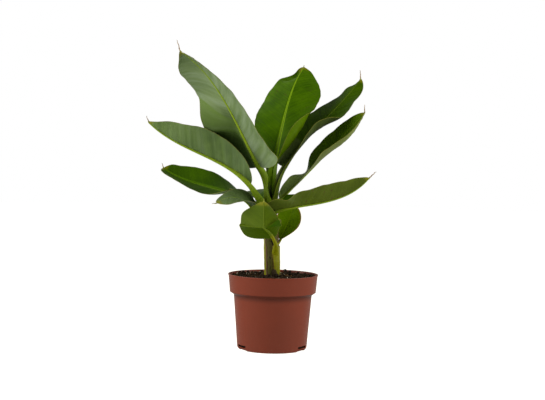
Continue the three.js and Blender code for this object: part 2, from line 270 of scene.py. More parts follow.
class Finish:
    """The node tree of one material, laid out node by node."""

    def __init__(self, name: str) -> None:
        """Starts a material that holds one principled shader.

        Args:
            name: The material's name.
        """
        self.material = bpy.data.materials.new(name)
        self.material.use_nodes = True
        self.tree = self.material.node_tree
        self.shader = self.tree.nodes["Principled BSDF"]

    def node(self, kind: str, settings: dict[str, object] | None = None,
             **inputs: object) -> bpy.types.Node:
        """Adds a node.

        Args:
            kind: The node's type, without its ShaderNode prefix.
            settings: The node's own properties.
            inputs: Values or links for its sockets, with _ for each space in a socket's name.

        Returns:
            The new node.
        """
        made = self.tree.nodes.new("ShaderNode" + kind)
        for key, value in (settings or {}).items():
            setattr(made, key, value)
        for key, value in inputs.items():
            self.feed(made.inputs[key.replace("_", " ")], value)
        return made

    def feed(self, socket: Socket, value: object) -> None:
        """Links a socket, or sets its value.

        Args:
            socket: The socket.
            value: Another socket, or a number, a vector or a colour.
        """
        if isinstance(value, Socket):
            self.tree.links.new(value, socket)
        elif isinstance(value, tuple) and len(value) == 3 and socket.type == "RGBA":
            socket.default_value = (*value, 1)
        else:
            socket.default_value = value

    def math(self, operation: str, a: object, b: object = 0.0) -> Socket:
        """Works on two numbers.

        Args:
            operation: The Math node's operation.
            a: The first number.
            b: The second number.

        Returns:
            The result.
        """
        made = self.node("Math", {"operation": operation})
        self.feed(made.inputs[0], a)
        self.feed(made.inputs[1], b)
        return made.outputs[0]

    def times(self, a: object, b: object) -> Socket:
        """Multiplies two numbers."""
        return self.math("MULTIPLY", a, b)

    def ramp(self, value: object, low: float, high: float, start: float = 0.0,
             end: float = 1.0) -> Socket:
        """Eases from start to end as a value goes from low to high."""
        made = self.node("MapRange", {"interpolation_type": "SMOOTHSTEP"}, Value=value,
                         From_Min=low, From_Max=high, To_Min=start, To_Max=end)
        return made.outputs["Result"]

    def mix(self, factor: object, a: object, b: object) -> Socket:
        """Mixes two colours.

        Args:
            factor: The second colour's share, from 0 to 1.
            a: The first colour.
            b: The second colour.

        Returns:
            The mixed colour.
        """
        factor_in, first_in, second_in, colour_out = 0, 6, 7, 2
        made = self.node("Mix", {"data_type": "RGBA"})
        self.feed(made.inputs[factor_in], factor)
        self.feed(made.inputs[first_in], a)
        self.feed(made.inputs[second_in], b)
        return made.outputs[colour_out]

    def attribute(self, name: str) -> Socket:
        """A number that the piece stores under a name."""
        return self.node("Attribute", {"attribute_name": name}).outputs["Fac"]

    def place(self, scale: Triple = (1, 1, 1), shift: Triple = (0, 0, 0)) -> Socket:
        """The place on the object, scaled and shifted."""
        source = self.node("TexCoord").outputs["Object"]
        return self.node("Mapping", Vector=source, Scale=scale, Location=shift).outputs[0]

    def sheet(self, scale: tuple[float, float], shift: float = 0.0, way: str = "run") -> Socket:
        """The stored distances across and along the piece.

        Args:
            scale: Their scales across and along.
            shift: How far the pattern is shifted across.
            way: The name that the distance along is stored under.

        Returns:
            The scaled and shifted place.
        """
        source = self.node("CombineXYZ", X=self.attribute("across"), Y=self.attribute(way)).outputs[0]
        made = self.node("Mapping", Vector=source, Scale=(*scale, 1), Location=(shift, 0, 0))
        return made.outputs[0]

    def noise(self, vector: object, scale: float, detail: float = 3.0, rough: float = 0.5) -> Socket:
        """Soft noise from 0 to 1."""
        made = self.node("TexNoise", Vector=vector, Scale=scale, Detail=detail, Roughness=rough)
        return made.outputs["Fac"]

    def bump(self, height: object, distance: float, strength: float = 1.0,
             normal: Socket | None = None) -> Socket:
        """Bumps the surface.

        Args:
            height: The height, from 0 to 1.
            distance: The depth of its full range.
            strength: How much of it shows.
            normal: Another bump that lies underneath.

        Returns:
            The bumped normal.
        """
        made = self.node("Bump", Height=height, Distance=distance, Strength=strength)
        if normal is not None:
            self.feed(made.inputs["Normal"], normal)
        return made.outputs[0]

    def finish(self, **inputs: object) -> bpy.types.Material:
        """Feeds the shader.

        Args:
            inputs: Values or links for its sockets, with _ for each space in a socket's name.

        Returns:
            The finished material.
        """
        for key, value in inputs.items():
            self.feed(self.shader.inputs[key.replace("_", " ")], value)
        return self.material


@dataclass(frozen=True)
class PotPlastic:
    """Satin moulded plastic, terracotta coloured.

    Attributes:
        colour: The ground colour.
        dull: Its duller blotches.
        dust: The specks low on the wall.
        dust_height: How far up the specks reach.
        painted_band_shade: Painted shade, a dark line tucked under the band where its step shades the
            wall.
        band_height: The height of the band's lower edge.
        band_shade_from: How far below that edge the painted shade begins.
        band_shade_full: How far below it the painted shade is at its darkest.
        band_shade_end: How far above it the painted shade has gone.
    """

    colour: Colour = (0.144, 0.0245, 0.0100)
    dull: Colour = (0.130, 0.0235, 0.0105)
    dust: Colour = (0.11, 0.062, 0.036)
    dust_height: float = 0.05
    painted_band_shade: Colour = (0.048, 0.010, 0.005)
    band_height: float = 0.108
    band_shade_from: float = 0.016
    band_shade_full: float = 0.004
    band_shade_end: float = 0.0004

    def material(self) -> bpy.types.Material:
        """Makes the plastic: soft blotches, a fine grain, a little dust low down and painted shade under
        the band.

        Returns:
            The material.
        """
        f = Finish("pot_plastic")
        place = f.place()
        height = f.node("SeparateXYZ", Vector=place).outputs["Z"]
        tone = f.mix(f.ramp(f.noise(place, 9, 4), 0.35, 0.7), self.colour, self.dull)
        speck = f.ramp(f.noise(place, 420, 2), 0.66, 0.74)
        low = f.times(speck, f.ramp(height, 0.0, self.dust_height, 0.55, 0.0))
        rub = f.noise(f.place((1, 1, 14)), 60, 2)
        # Painted shade: a dark line on the wall just under the band, where the band's step shades it.
        edge = self.band_height
        under = f.times(f.ramp(height, edge - self.band_shade_from, edge - self.band_shade_full),
                        f.ramp(height, edge, edge + self.band_shade_end, 0.7, 0.0))
        tone = f.mix(under, tone, self.painted_band_shade)
        grain = f.bump(f.noise(place, 1500, 2), 0.00005, 0.5)
        return f.finish(
            Base_Color=f.mix(low, tone, self.dust),
            Roughness=f.ramp(rub, 0.3, 0.7, 0.40, 0.50),
            Specular_IOR_Level=0.2,
            Normal=f.bump(rub, 0.00012, 0.35, grain),
        )


@dataclass(frozen=True)
class MoistPeat:
    """Dark crumbly peat.

    Attributes:
        wet: The colour of its damp clods.
        dry: The colour of its drier crumbs.
    """

    wet: Colour = (0.0065, 0.0042, 0.0026)
    dry: Colour = (0.030, 0.018, 0.0095)

    def material(self) -> bpy.types.Material:
        """Makes the peat: dark clods, lighter crumbs and a coarse grain.

        Returns:
            The material.
        """
        f = Finish("moist_peat")
        place = f.place()
        crumbs = f.noise(place, 330, 6, 0.65)
        patches = f.ramp(f.noise(place, 60, 3), 0.35, 0.7)
        shade = f.times(f.ramp(crumbs, 0.42, 0.72), patches)
        return f.finish(
            Base_Color=f.mix(shade, self.wet, self.dry),
            Roughness=f.ramp(crumbs, 0.3, 0.7, 0.75, 0.98),
            Specular_IOR_Level=0.08,
            Normal=f.bump(crumbs, 0.0012, 0.9),
        )


@dataclass(frozen=True)
class Crumb:
    """Loose grains on the soil, each of its own tone between two colours.

    Attributes:
        name: The material's name.
        one: The first colour.
        other: The other colour.
        roughness: How rough they are.
        pit: The colour of their pits.
    """

    name: str
    one: Colour
    other: Colour
    roughness: float
    pit: Colour = (0.012, 0.008, 0.005)

    def material(self) -> bpy.types.Material:
        """Makes the grains: a tone for each and a rough skin.

        Returns:
            The material.
        """
        f = Finish(self.name)
        tone = f.mix(f.attribute("lot"), self.one, self.other)
        pits = f.noise(f.place(), 900, 3)
        return f.finish(
            Base_Color=f.mix(f.ramp(pits, 0.35, 0.6, 0.45, 0.0), tone, self.pit),
            Roughness=self.roughness,
            Specular_IOR_Level=0.12,
            Normal=f.bump(pits, 0.0004, 0.8),
        )


@dataclass(frozen=True)
class BladeSkin:
    """One side of a leaf blade: its ground colours, its side veins and its midrib's stripe.

    Attributes:
        name: The material's name.
        light: The ground's lighter colour.
        deep: Its deeper colour.
        rib: The midrib's stripe, `rib_width` times as wide as the midrib.
        bloom: The waxy bloom along the side veins, `bloom_share` strong.
        base: A zone of its own colour at the base, out to `base_reach` and `base_share` strong; in HOOD
            and BLOOM it is painted shade, in LOBE partly painted light.
        base_slant: How much further that zone reaches on the right than on the left.
        base_hand: The half that base and shade keep to, -1 or 1, or 0 for both.
        base_from: Where the zone starts to fade, as a share of its reach.
        shade: Painted shade at the base, out to `shade_reach` and `shade_share` strong, where the blade
            is turned from the light and shaded by the leaves round it.
        tip: The tip's colour, over `tip_reach`.
        blotch: Brown streaks along the side veins, `blotch_share` strong.
        edge: The margin's colour, over `edge_width`.
        roughness: The skin's middle roughness.
        gloss: The shader's specular level.
        veins: How strongly the side veins show.
        seed: Shifts the patterns.
    """

    name: str
    light: Colour
    deep: Colour
    rib: Colour
    bloom: Colour = (0.2, 0.24, 0.2)
    bloom_share: float = 0.0
    rib_width: float = 1.0
    base: Colour = (0.08, 0.1, 0.03)
    base_reach: float = 0.001
    base_share: float = 0.0
    base_slant: float = 0.0
    base_hand: int = 0
    base_from: float = 0.94
    shade: Colour = (0.012, 0.030, 0.003)
    shade_reach: float = 0.07
    shade_share: float = 0.0
    tip: Colour = (0.15, 0.15, 0.006)
    tip_reach: float = 0.011
    blotch: Colour = (0.045, 0.035, 0.008)
    blotch_share: float = 0.0
    edge: Colour = (0.16, 0.15, 0.03)
    edge_width: float = 0.0011
    roughness: float = 0.42
    gloss: float = 0.12
    veins: float = 1.0
    seed: int = 0

    @property
    def shift(self) -> float:
        """How far the patterns are shifted."""
        return self.seed * 0.37

    def veined(self, f: Finish, scale: tuple[float, float], detail: float,
               rough: float = 0.5) -> Socket:
        """Noise that is drawn out along the side veins."""
        return f.noise(f.sheet(scale, self.shift, "vein"), 1.0, detail, rough)

    def ground(self, f: Finish, bands: Socket, threads: Socket) -> Socket:
        """Lays the ground colour with its bands, threads and bloom.

        Args:
            f: The material in the making.
            bands: The broad bands along the side veins.
            threads: The fine threads along them.

        Returns:
            The colour.
        """
        mottle = f.noise(f.place(shift=(self.shift, 0, 0)), 16, 4, 0.55)
        ground = f.mix(f.ramp(mottle, 0.32, 0.7), self.deep, self.light)
        ground = f.mix(f.times(f.ramp(bands, 0.3, 0.7), 0.5), ground, self.deep)
        ground = f.mix(f.times(f.ramp(threads, 0.38, 0.68), 0.35 * self.veins), ground, self.light)
        cloud = f.ramp(self.veined(f, (13, 62), 3), 0.3, 0.72, 0.2, 1.0)
        return f.mix(f.times(cloud, self.bloom_share), ground, self.bloom)

    def zones(self, f: Finish, ground: Socket) -> Socket:
        """Lays the base's own colour and the painted shade at the base over the ground.

        Args:
            f: The material in the making.
            ground: The colour so far.

        Returns:
            The colour.
        """
        across, run = f.attribute("across"), f.attribute("run")
        slanted = f.math("SUBTRACT", run, f.times(across, self.base_slant))
        # The base zone: a tone of its own, which is painted shade in HOOD and BLOOM and partly painted
        # light in LOBE.
        base_tone_and_painted_light = f.ramp(slanted, self.base_reach * self.base_from, self.base_reach, self.base_share, 0.0)
        # Painted shade near the blade's base, strongest nearest the stem and fading out along the blade.
        painted_shade_mask = f.ramp(run, self.shade_reach * 0.35, self.shade_reach, self.shade_share, 0.0)
        if self.base_hand:
            out = f.times(across, self.base_hand)
            base_tone_and_painted_light = f.times(base_tone_and_painted_light, f.ramp(out, 0.001, 0.003))
            painted_shade_mask = f.times(painted_shade_mask, f.ramp(out, 0.0, 0.012))
        return f.mix(painted_shade_mask, f.mix(base_tone_and_painted_light, ground, self.base), self.shade)

    def marks(self, f: Finish, ground: Socket, from_rib: Socket) -> Socket:
        """Lays the streaks, the tip, the midrib's stripe and the margin over the ground.

        Args:
            f: The material in the making.
            ground: The colour so far.
            from_rib: The distance from the midrib, against its radius.

        Returns:
            The colour.
        """
        streaks = f.ramp(self.veined(f, (60, 210), 2, 0.4), 0.63, 0.69)
        spread = f.noise(f.place(shift=(self.shift, 0, 0)), 34, 2)
        patch = f.ramp(spread, 0.50, 0.58, 0.0, self.blotch_share)
        ground = f.mix(f.times(streaks, patch), ground, self.blotch)
        end = f.ramp(f.attribute("from_tip"), self.tip_reach * 0.3, self.tip_reach, 0.85, 0.0)
        ground = f.mix(end, ground, self.tip)
        stripe = f.ramp(from_rib, 0.55 * self.rib_width, 1.15 * self.rib_width, 1.0, 0.0)
        ground = f.mix(stripe, ground, self.rib)
        edge = f.ramp(f.attribute("from_edge"), self.edge_width * 0.2, self.edge_width, 0.8, 0.0)
        return f.mix(edge, ground, self.edge)

    def material(self) -> bpy.types.Material:
        """Makes the skin from the blade's stored distances.

        Returns:
            The material.
        """
        f = Finish(self.name)
        bands = self.veined(f, (9, 75), 2, 0.45)
        threads = self.veined(f, (14, 420), 2)
        from_rib = f.attribute("from_rib")
        ground = self.zones(f, self.ground(f, bands, threads))
        fade = f.ramp(from_rib, 0.8, 2.2)
        pleat = f.bump(f.times(bands, fade), 0.0012, 0.5 * self.veins)
        ridge = f.bump(f.times(threads, fade), 0.00006, 0.3 * self.veins, pleat)
        return f.finish(
            Base_Color=self.marks(f, ground, from_rib),
            Roughness=f.ramp(bands, 0.2, 0.8, self.roughness - 0.05, self.roughness + 0.08),
            Specular_IOR_Level=self.gloss,
            Normal=ridge,
        )


@dataclass(frozen=True)
class StalkSkin:
    """Smooth skin of a leaf stalk and midrib, with a duller channel.

    Attributes:
        name: The material's name.
        light: The ground's lighter colour.
        deep: Its deeper colour.
        channel: The inside of the channel; darker than the ground in all skins but STALK_VIVID, as
            painted shade in the hollow.
        rib: The midrib's colour, further out along the blade.
        margin: The brown margin of a sheath.
        margin_from: Where the margin starts, as a share of the reach round the stem.
        spots: The spots on a sheath.
        spot_share: How strongly the spots show, fully from 0.25 on.
        roughness: The skin's middle roughness.
    """

    name: str
    light: Colour
    deep: Colour
    channel: Colour
    rib: Colour = (0.15, 0.22, 0.02)
    margin: Colour = (0.07, 0.035, 0.018)
    margin_from: float = 0.82
    spots: Colour = (0.055, 0.028, 0.012)
    spot_share: float = 0.2
    roughness: float = 0.38

    def material(self) -> bpy.types.Material:
        """Makes the skin: streaks along the stalk, painted shade in the channel, spots, and brown margins
        low down.

        Returns:
            The material.
        """
        f = Finish(self.name)
        streak = f.noise(f.sheet((700, 14)), 1.0, 4, 0.6)
        fine = f.noise(f.sheet((2600, 22)), 1.0, 3, 0.6)
        mottle = f.noise(f.place(), 45, 4)
        ground = f.mix(f.ramp(streak, 0.3, 0.7), self.deep, self.light)
        ground = f.mix(f.ramp(mottle, 0.45, 0.8, 0.0, 0.5), ground, self.deep)
        # Painted shade: the channel's inside is darker than the ground, as in a shaded hollow.
        ground = f.mix(f.attribute("channel"), ground, self.channel)
        ground = f.mix(f.attribute("midrib"), ground, self.rib)
        speck = f.ramp(f.noise(f.place((1, 1, 0.45)), 170, 3), 0.64, 0.70)
        low = f.attribute("sheath")
        ground = f.mix(f.times(f.times(speck, low), self.spot_share * 4), ground, self.spots)
        lip = f.times(f.ramp(f.attribute("lip"), self.margin_from, self.margin_from + 0.1), low)
        return f.finish(
            Base_Color=f.mix(lip, ground, self.margin),
            Roughness=f.ramp(fine, 0.2, 0.8, self.roughness - 0.04, self.roughness + 0.1),
            Specular_IOR_Level=0.1,
            Normal=f.bump(fine, 0.0001, 0.4),
        )


@dataclass(frozen=True)
class DryThread:
    """The dry thread at a leaf's tip.

    Attributes:
        light: Its tan colour.
        dark: The colour of its darker stretches.
        fresh: The green that is left at its foot, over `fresh_reach`.
    """

    light: Colour = (0.34, 0.24, 0.12)
    dark: Colour = (0.12, 0.06, 0.035)
    fresh: Colour = (0.17, 0.19, 0.008)
    fresh_reach: float = 0.0055

    def material(self) -> bpy.types.Material:
        """Makes the thread: tan, with darker stretches and fine wrinkles.

        Returns:
            The material.
        """
        f = Finish("dry_thread")
        stretch = f.noise(f.sheet((900, 260)), 1.0, 3)
        wrinkle = f.noise(f.place(), 900, 2)
        dry = f.mix(f.ramp(stretch, 0.35, 0.65), self.light, self.dark)
        fresh = f.ramp(f.attribute("run"), self.fresh_reach * 0.5, self.fresh_reach, 0.9, 0.0)
        return f.finish(
            Base_Color=f.mix(fresh, dry, self.fresh),
            Roughness=0.85,
            Normal=f.bump(wrinkle, 0.0003, 0.6),
        )


# ---- The pot ----


@dataclass
class NurseryPot:
    """A round moulded pot with a stepped rim band, a bead at its top and drains at its foot.

    Attributes:
        rim_radius: The bead's radius, the widest part.
        height: The whole height.
        foot_radius: The outer radius of the ring that it stands on.
        ring_inner: The inner radius of that ring.
        heel_radius: The radius where the round heel ends, at `heel_height`.
        neck_radius: The wall's radius under the band, at `neck_height`.
        band_radius: The band's radius at its lower edge, at `band_height`.
        bead: The bead's height.
        bead_step: How far the bead stands out.
        bead_draft: How much further in its underside starts.
        wall: The wall's thickness.
        floor: The height of the floor's upper side.
        recess: How deep the underside is recessed, inside `recess_radius`.
        inner_band: How far above its lower edge the band's inside starts.
        inner_draft: How far up the band's slope that inside is taken from.
        inner_neck: How far the neck's inside is above its outside.
        drains: The turns of the drains.
        drain_half_width: Half the width of a drain.
        drain_depth: How deep a drain cuts into the wall.
        notch: The height of a drain's notch in the foot.
        hole: The height of its hole above the floor.
        spare: How far a notch's cutter reaches below the foot.
        edge: The width of the rounded edges.
        edge_angle: The largest turn between two faces whose edge stays sharp.
        sides: The number of sides round the axis.
    """

    rim_radius: float
    height: float
    foot_radius: float = 0.061
    ring_inner: float = 0.050
    heel_radius: float = 0.066
    heel_height: float = 0.006
    neck_radius: float = 0.0738
    neck_height: float = 0.103
    band_radius: float = 0.0813
    band_height: float = 0.108
    bead: float = 0.0026
    bead_step: float = 0.0007
    bead_draft: float = 0.0002
    wall: float = 0.0022
    floor: float = 0.0058
    recess: float = 0.0012
    recess_radius: float = 0.048
    inner_band: float = 0.004
    inner_draft: float = 0.002
    inner_neck: float = 0.0012
    drains: tuple[float, ...] = (90, 210, 330)
    drain_half_width: float = 0.014
    drain_depth: float = 0.016
    notch: float = 0.0044
    hole: float = 0.0045
    spare: float = 0.001
    edge: float = 0.0005
    edge_angle: float = 28
    sides: int = 160

    def profile(self) -> list[tuple[float, float]]:
        """Draws the wall's outline, from the underside up and down again to the floor.

        Returns:
            The outline's points, each a radius and a height.
        """
        bead_base = self.height - self.bead
        slope = (self.rim_radius - self.band_radius) / (self.height - self.band_height)
        inside = self.band_radius - self.wall
        turn = [math.radians(a) for a in range(15, 90, 15)]
        round_heel = [
            (self.foot_radius + (self.heel_radius - self.foot_radius) * math.sin(a),
             self.heel_height * (1 - math.cos(a))) for a in turn
        ]
        return [
            (self.recess_radius, self.recess),
            (self.ring_inner, 0.0),
            (self.foot_radius, 0.0),
            *round_heel,
            (self.heel_radius, self.heel_height),
            (self.neck_radius, self.neck_height),
            (self.band_radius, self.band_height),
            (self.rim_radius - self.bead_step - self.bead_draft, bead_base),
            (self.rim_radius, bead_base + self.bead_step),
            (self.rim_radius, self.height),
            (self.rim_radius - self.wall, self.height),
            (inside + slope * self.inner_draft, self.band_height + self.inner_band),
            (self.neck_radius - self.wall, self.neck_height + self.inner_neck),
            (self.heel_radius - self.wall, self.floor),
        ]

    def shell(self) -> Piece:
        """Extrudes the whole wall from a disc, ring by ring.

        Returns:
            The pot without its drains.
        """
        profile = self.profile()
        bpy.ops.object.select_all(action="DESELECT")
        bpy.ops.mesh.primitive_circle_add(vertices=self.sides, radius=profile[0][0], fill_type="NGON",
                                          location=(0, 0, profile[0][1]))
        piece = bpy.context.active_object
        piece.name = piece.data.name = "pot_shell"
        bpy.ops.object.transform_apply(location=True)
        bpy.ops.object.mode_set(mode="EDIT")
        bpy.ops.mesh.select_all(action="SELECT")
        for (r0, z0), (r1, z1) in zip(profile, profile[1:]):
            rise = {"value": (0, 0, z1 - z0)}
            bpy.ops.mesh.extrude_region_move(TRANSFORM_OT_translate=rise)
            bpy.ops.transform.resize(value=(r1 / r0, r1 / r0, 1), center_override=(0, 0, z1))
        bpy.ops.object.mode_set(mode="OBJECT")
        return piece

    def cut(self, piece: Piece, turn: float, bottom: float, top: float) -> None:
        """Cuts a box out of the foot.

        Args:
            piece: The pot.
            turn: The box's turn round the axis.
            bottom: The height of its underside.
            top: The height of its upper side.
        """
        bpy.ops.object.select_all(action="DESELECT")
        bpy.ops.mesh.primitive_cube_add(size=1)
        cutter = bpy.context.active_object
        spin = Matrix.Rotation(math.radians(turn), 4, "Z")
        shift = Matrix.Translation((self.heel_radius, 0, (bottom + top) / 2))
        size = Matrix.Diagonal((self.drain_depth, self.drain_half_width * 2, top - bottom, 1))
        cutter.data.transform(spin @ shift @ size)
        apply_modifier(piece, "BOOLEAN", operation="DIFFERENCE", solver="EXACT", object=cutter)
        bpy.data.objects.remove(cutter)

    def build(self) -> None:
        """Makes the pot and dresses it."""
        piece = self.shell()
        for turn in self.drains:
            self.cut(piece, turn, -self.spare, self.notch)
            self.cut(piece, turn, self.floor, self.floor + self.hole)
        apply_modifier(piece, "BEVEL", width=self.edge, segments=3, limit_method="ANGLE",
                       angle_limit=math.radians(self.edge_angle), harden_normals=False)
        smooth_by_angle(piece, 35)
        piece.data.materials.append(PotPlastic().material())
        hand_over(piece, Slot.POT, "pot")


# ---- The soil ----


@dataclass(frozen=True)
class Grains:
    """One kind of loose grain on the soil.

    Attributes:
        name: The piece's name.
        count: How many grains.
        size: The smallest and largest grain.
        shape: A grain's length, width and height as shares of its size.
        seed: Picks places, sizes and turns.
        finish: The grains' finish.
        sink: How deep a grain sits, as a share of its size.
        reach: How far out they lie, as a share of the soil's radius.
    """

    name: str
    count: int
    size: tuple[float, float]
    shape: Triple
    seed: int
    finish: Crumb
    sink: float
    reach: float = 0.97


STREWN = (
    Grains("soil_crumbs", 2600, (0.0009, 0.0042), (1, 0.85, 0.7), seed=11, sink=0.2,
           finish=Crumb("peat_crumb", (0.010, 0.0062, 0.0032), (0.046, 0.027, 0.012), 0.95)),
    Grains("soil_perlite", 60, (0.0016, 0.0040), (1, 0.85, 0.8), seed=23, sink=0.1,
           finish=Crumb("perlite", (0.55, 0.52, 0.44), (0.28, 0.25, 0.19), 0.9)),
    Grains("soil_bark", 210, (0.002, 0.0065), (1, 0.55, 0.28), seed=37, sink=0.1,
           finish=Crumb("bark_flake", (0.26, 0.12, 0.030), (0.08, 0.04, 0.014), 0.85)),
    Grains("soil_clods", 130, (0.004, 0.0115), (1, 0.9, 0.8), seed=63, sink=0.25,
           finish=Crumb("peat_clod", (0.009, 0.0055, 0.003), (0.024, 0.014, 0.007), 0.95)),
    Grains("soil_fibres", 170, (0.004, 0.011), (1, 0.07, 0.07), seed=51, sink=0.0, reach=0.93,
           finish=Crumb("peat_fibre", (0.11, 0.06, 0.022), (0.04, 0.022, 0.01), 0.9)),
)


@dataclass
class SoilBed:
    """Moist peat with crumbs, perlite and bark, up to just under the pot's rim.

    Attributes:
        level: The height of its surface.
        radius: Its radius at the surface.
        below: The spread and height of each step of its underside, from the surface down.
        stem_x: Where the stem stands.
        stem_radius: How far round the stem no grains lie.
        mound: The height of the mound round the stem, and how far it falls away.
        lumps: The broad unevenness: how fine it is, which slice of the noise, and its height.
        clods: The clods, in the same way.
        grit: The grit, in the same way.
        level_from: Where the surface starts to level out, as a share of the radius.
        cells: How many corners the surface has to a side.
    """

    level: float
    radius: float = 0.0816
    below: tuple[tuple[float, float], ...] = ((0.985, 0.122), (0.88, 0.101), (0.892, 0.0062))
    stem_x: float = -0.0013
    stem_radius: float = 0.016
    mound: tuple[float, float] = (0.0016, 0.014)
    lumps: Triple = (42, 3.7, 0.0011)
    clods: Triple = (150, 9.1, 0.0009)
    grit: Triple = (520, 1.3, 0.0004)
    level_from: float = 0.9
    cells: int = 150

    def height_at(self, x: float, y: float) -> float:
        """Finds the soil's height, with its clods and the mound round the stem.

        Args:
            x: The place's x.
            y: The place's y.

        Returns:
            The height.
        """
        broad, small, fine = (
            Vector((x * scale, y * scale, part)) for scale, part, _ in (self.lumps, self.clods, self.grit)
        )
        lumps, clods, grit = noise.fractal(broad, 0.7, 2.2, 5), noise.noise(small), noise.noise(fine)
        height, fall = self.mound
        mound = height * math.exp(-((math.hypot(x - self.stem_x, y) - self.stem_radius) / fall) ** 2)
        flat = 1 - max(0.0, math.hypot(x, y) / self.radius - self.level_from) * 6
        uneven = flat * (self.lumps[2] * lumps + self.clods[2] * clods)
        return self.level + mound + uneven + self.grit[2] * grit

    def block(self) -> Piece:
        """Makes the body of the soil, an uneven top on a plain block.

        Returns:
            The piece.
        """
        axis = np.linspace(-1, 1, self.cells)
        u, v = np.meshgrid(axis, axis)
        x = self.radius * u * np.sqrt(1 - v * v / 2)
        y = self.radius * v * np.sqrt(1 - u * u / 2)
        z = np.vectorize(self.height_at)(x, y)
        piece = shaped_grid("soil_bed", np.stack([x, y, z], -1))
        bpy.ops.object.mode_set(mode="EDIT")
        bpy.ops.mesh.select_all(action="SELECT")
        for (_, z0), (spread, z1) in zip(((1.0, self.level),) + self.below, self.below):
            bpy.ops.mesh.extrude_region_move(TRANSFORM_OT_translate={"value": (0, 0, z1 - z0)})
            bpy.ops.transform.resize(value=(spread, spread, 0), center_override=(0, 0, z1))
        bpy.ops.mesh.normals_make_consistent(inside=False)
        bpy.ops.object.mode_set(mode="OBJECT")
        smooth_by_angle(piece, 60)
        return piece

    def spots(self, count: int, seed: int, reach: float) -> Array:
        """Picks places on the soil, clear of the stem.

        Args:
            count: How many.
            seed: Picks the places.
            reach: How far out they lie, as a share of the radius.

        Returns:
            The places, as count x 3.
        """
        draw = np.random.default_rng(seed)
        found = []
        while len(found) < count:
            r, turn = self.radius * reach * math.sqrt(draw.random()), draw.uniform(0, 2 * math.pi)
            x, y = r * math.cos(turn), r * math.sin(turn)
            if math.hypot(x - self.stem_x, y) > self.stem_radius:
                found.append((x, y, self.height_at(x, y)))
        return np.array(found)

    def lump(self, seed: int, uneven: float = 0.75) -> Piece:
        """Makes one uneven grain, about 1 m across.

        Args:
            seed: Picks its shape.
            uneven: How far its corners are pushed in and out, as a share of its radius.

        Returns:
            The grain.
        """
        bpy.ops.object.select_all(action="DESELECT")
        bpy.ops.mesh.primitive_ico_sphere_add(subdivisions=1, radius=0.5)
        piece = bpy.context.active_object
        for v in piece.data.vertices:
            v.co *= 1 + uneven * noise.noise(v.co * 3 + Vector((seed, 0, 0)))
        return piece

    def strew(self, plan: Grains) -> None:
        """Strews one kind of grain over the soil.

        Args:
            plan: The grains.
        """
        draw = np.random.default_rng(plan.seed)
        places = self.spots(plan.count, plan.seed + 1, plan.reach)
        small, large = plan.size
        spans = small + (large - small) * draw.random(plan.count) ** 2.2
        sizes = spans[:, None] * np.array(plan.shape) * draw.uniform(0.7, 1.25, (plan.count, 3))
        places[:, 2] += spans * (0.5 - plan.sink) * min(plan.shape)
        piece = scattered(plan.name, self.lump(plan.seed), places, sizes, plan.seed + 2)
        smooth_by_angle(piece, 50)
        piece.data.materials.append(plan.finish.material())
        hand_over(piece, Slot.SOIL)

    def build(self) -> None:
        """Makes the soil and everything on it."""
        bed = self.block()
        bed.data.materials.append(MoistPeat().material())
        hand_over(bed, Slot.SOIL, "soil")
        for plan in STREWN:
            self.strew(plan)


# ---- Crescents: sheaths, stalks and midribs ----


@dataclass
class Crescent:
    """A path with a crescent across it, open on its upper side, one row for each place.

    Attributes:
        centre: The centres of the crescents' arcs, as rows x 3.
        run: The way the path runs at each row.
        upper: The side that the crescent opens to at each row.
        outer: The outer arc's radius.
        inner: The inner arc's radius.
        left: How far the arc reaches round on the left of the spine.
        right: How far it reaches round on the right.
        marks: Values that each row stores, by name: how far it is a sheath, and how far a midrib.
        outer_steps: The steps round the outer arc.
        inner_steps: The steps back round the inner arc.
    """

    centre: Array
    run: Array
    upper: Array
    outer: Array
    inner: Array
    left: Array
    right: Array
    marks: dict[str, Array]
    outer_steps: int = 22
    inner_steps: int = 12

    def angles(self) -> tuple[Array, Array]:
        """Lays out the points of each row, round the outer arc and back round the inner one.

        Returns:
            The angle from the spine and the radius of each point, as rows x columns.
        """
        out = np.linspace(0, 1, self.outer_steps + 1)
        back = np.linspace(1, 0, self.inner_steps + 1)
        share = np.concatenate([out, back, [0.0]])
        angle = -self.left[:, None] + (self.left + self.right)[:, None] * share
        outside = np.ones(len(share), bool)
        outside[len(out):-1] = False
        radius = np.where(outside, self.outer[:, None], self.inner[:, None])
        return angle, radius

    def build(self, name: str) -> Piece:
        """Lofts the crescents into one closed piece.

        Args:
            name: The piece's name.

        Returns:
            The piece, with its stored distances and marks.
        """
        angle, radius = self.angles()
        run = unit(self.run)
        side = unit(np.cross(run, self.upper))
        upper = np.cross(side, run)
        turn = np.radians(angle)[..., None]
        ring = np.sin(turn) * side[:, None] - np.cos(turn) * upper[:, None]
        places = self.centre[:, None] + ring * radius[..., None]
        piece = shaped_grid(name, places)
        rows, columns = radius.shape
        steps = np.linalg.norm(np.diff(self.centre, axis=0), axis=1)
        length = np.concatenate([[0], np.cumsum(steps)])
        inside = np.zeros(columns)
        inside[self.outer_steps + 1:-1] = 1
        reach = np.where(angle < 0, -angle / self.left[:, None], angle / self.right[:, None])
        marks = {mark: np.repeat(values, columns) for mark, values in self.marks.items()}
        store(piece, run=np.repeat(length, columns), across=np.radians(angle) * radius,
              channel=np.tile(inside, rows), lip=reach, **marks)
        close_tube(piece)
        smooth_by_angle(piece, 55)
        return piece


# ---- The stem ----


@dataclass
class Wrap:
    """One old leaf sheath round the stem.

    Attributes:
        name: The piece's name.
        heading: The way its back faces.
        reach: How far it wraps round to each side of its back, at the foot and at the top.
        radii: Its outer radius at the foot and at the top.
        bottom: The height that it starts at above the soil.
        height: Its height.
        skin: The finish.
        seed: Picks its uneven edges.
        wall: Its thickness.
    """

    name: str
    heading: float
    reach: tuple[float, float]
    radii: tuple[float, float]
    bottom: float
    height: float
    skin: StalkSkin
    seed: int
    wall: float = 0.0016


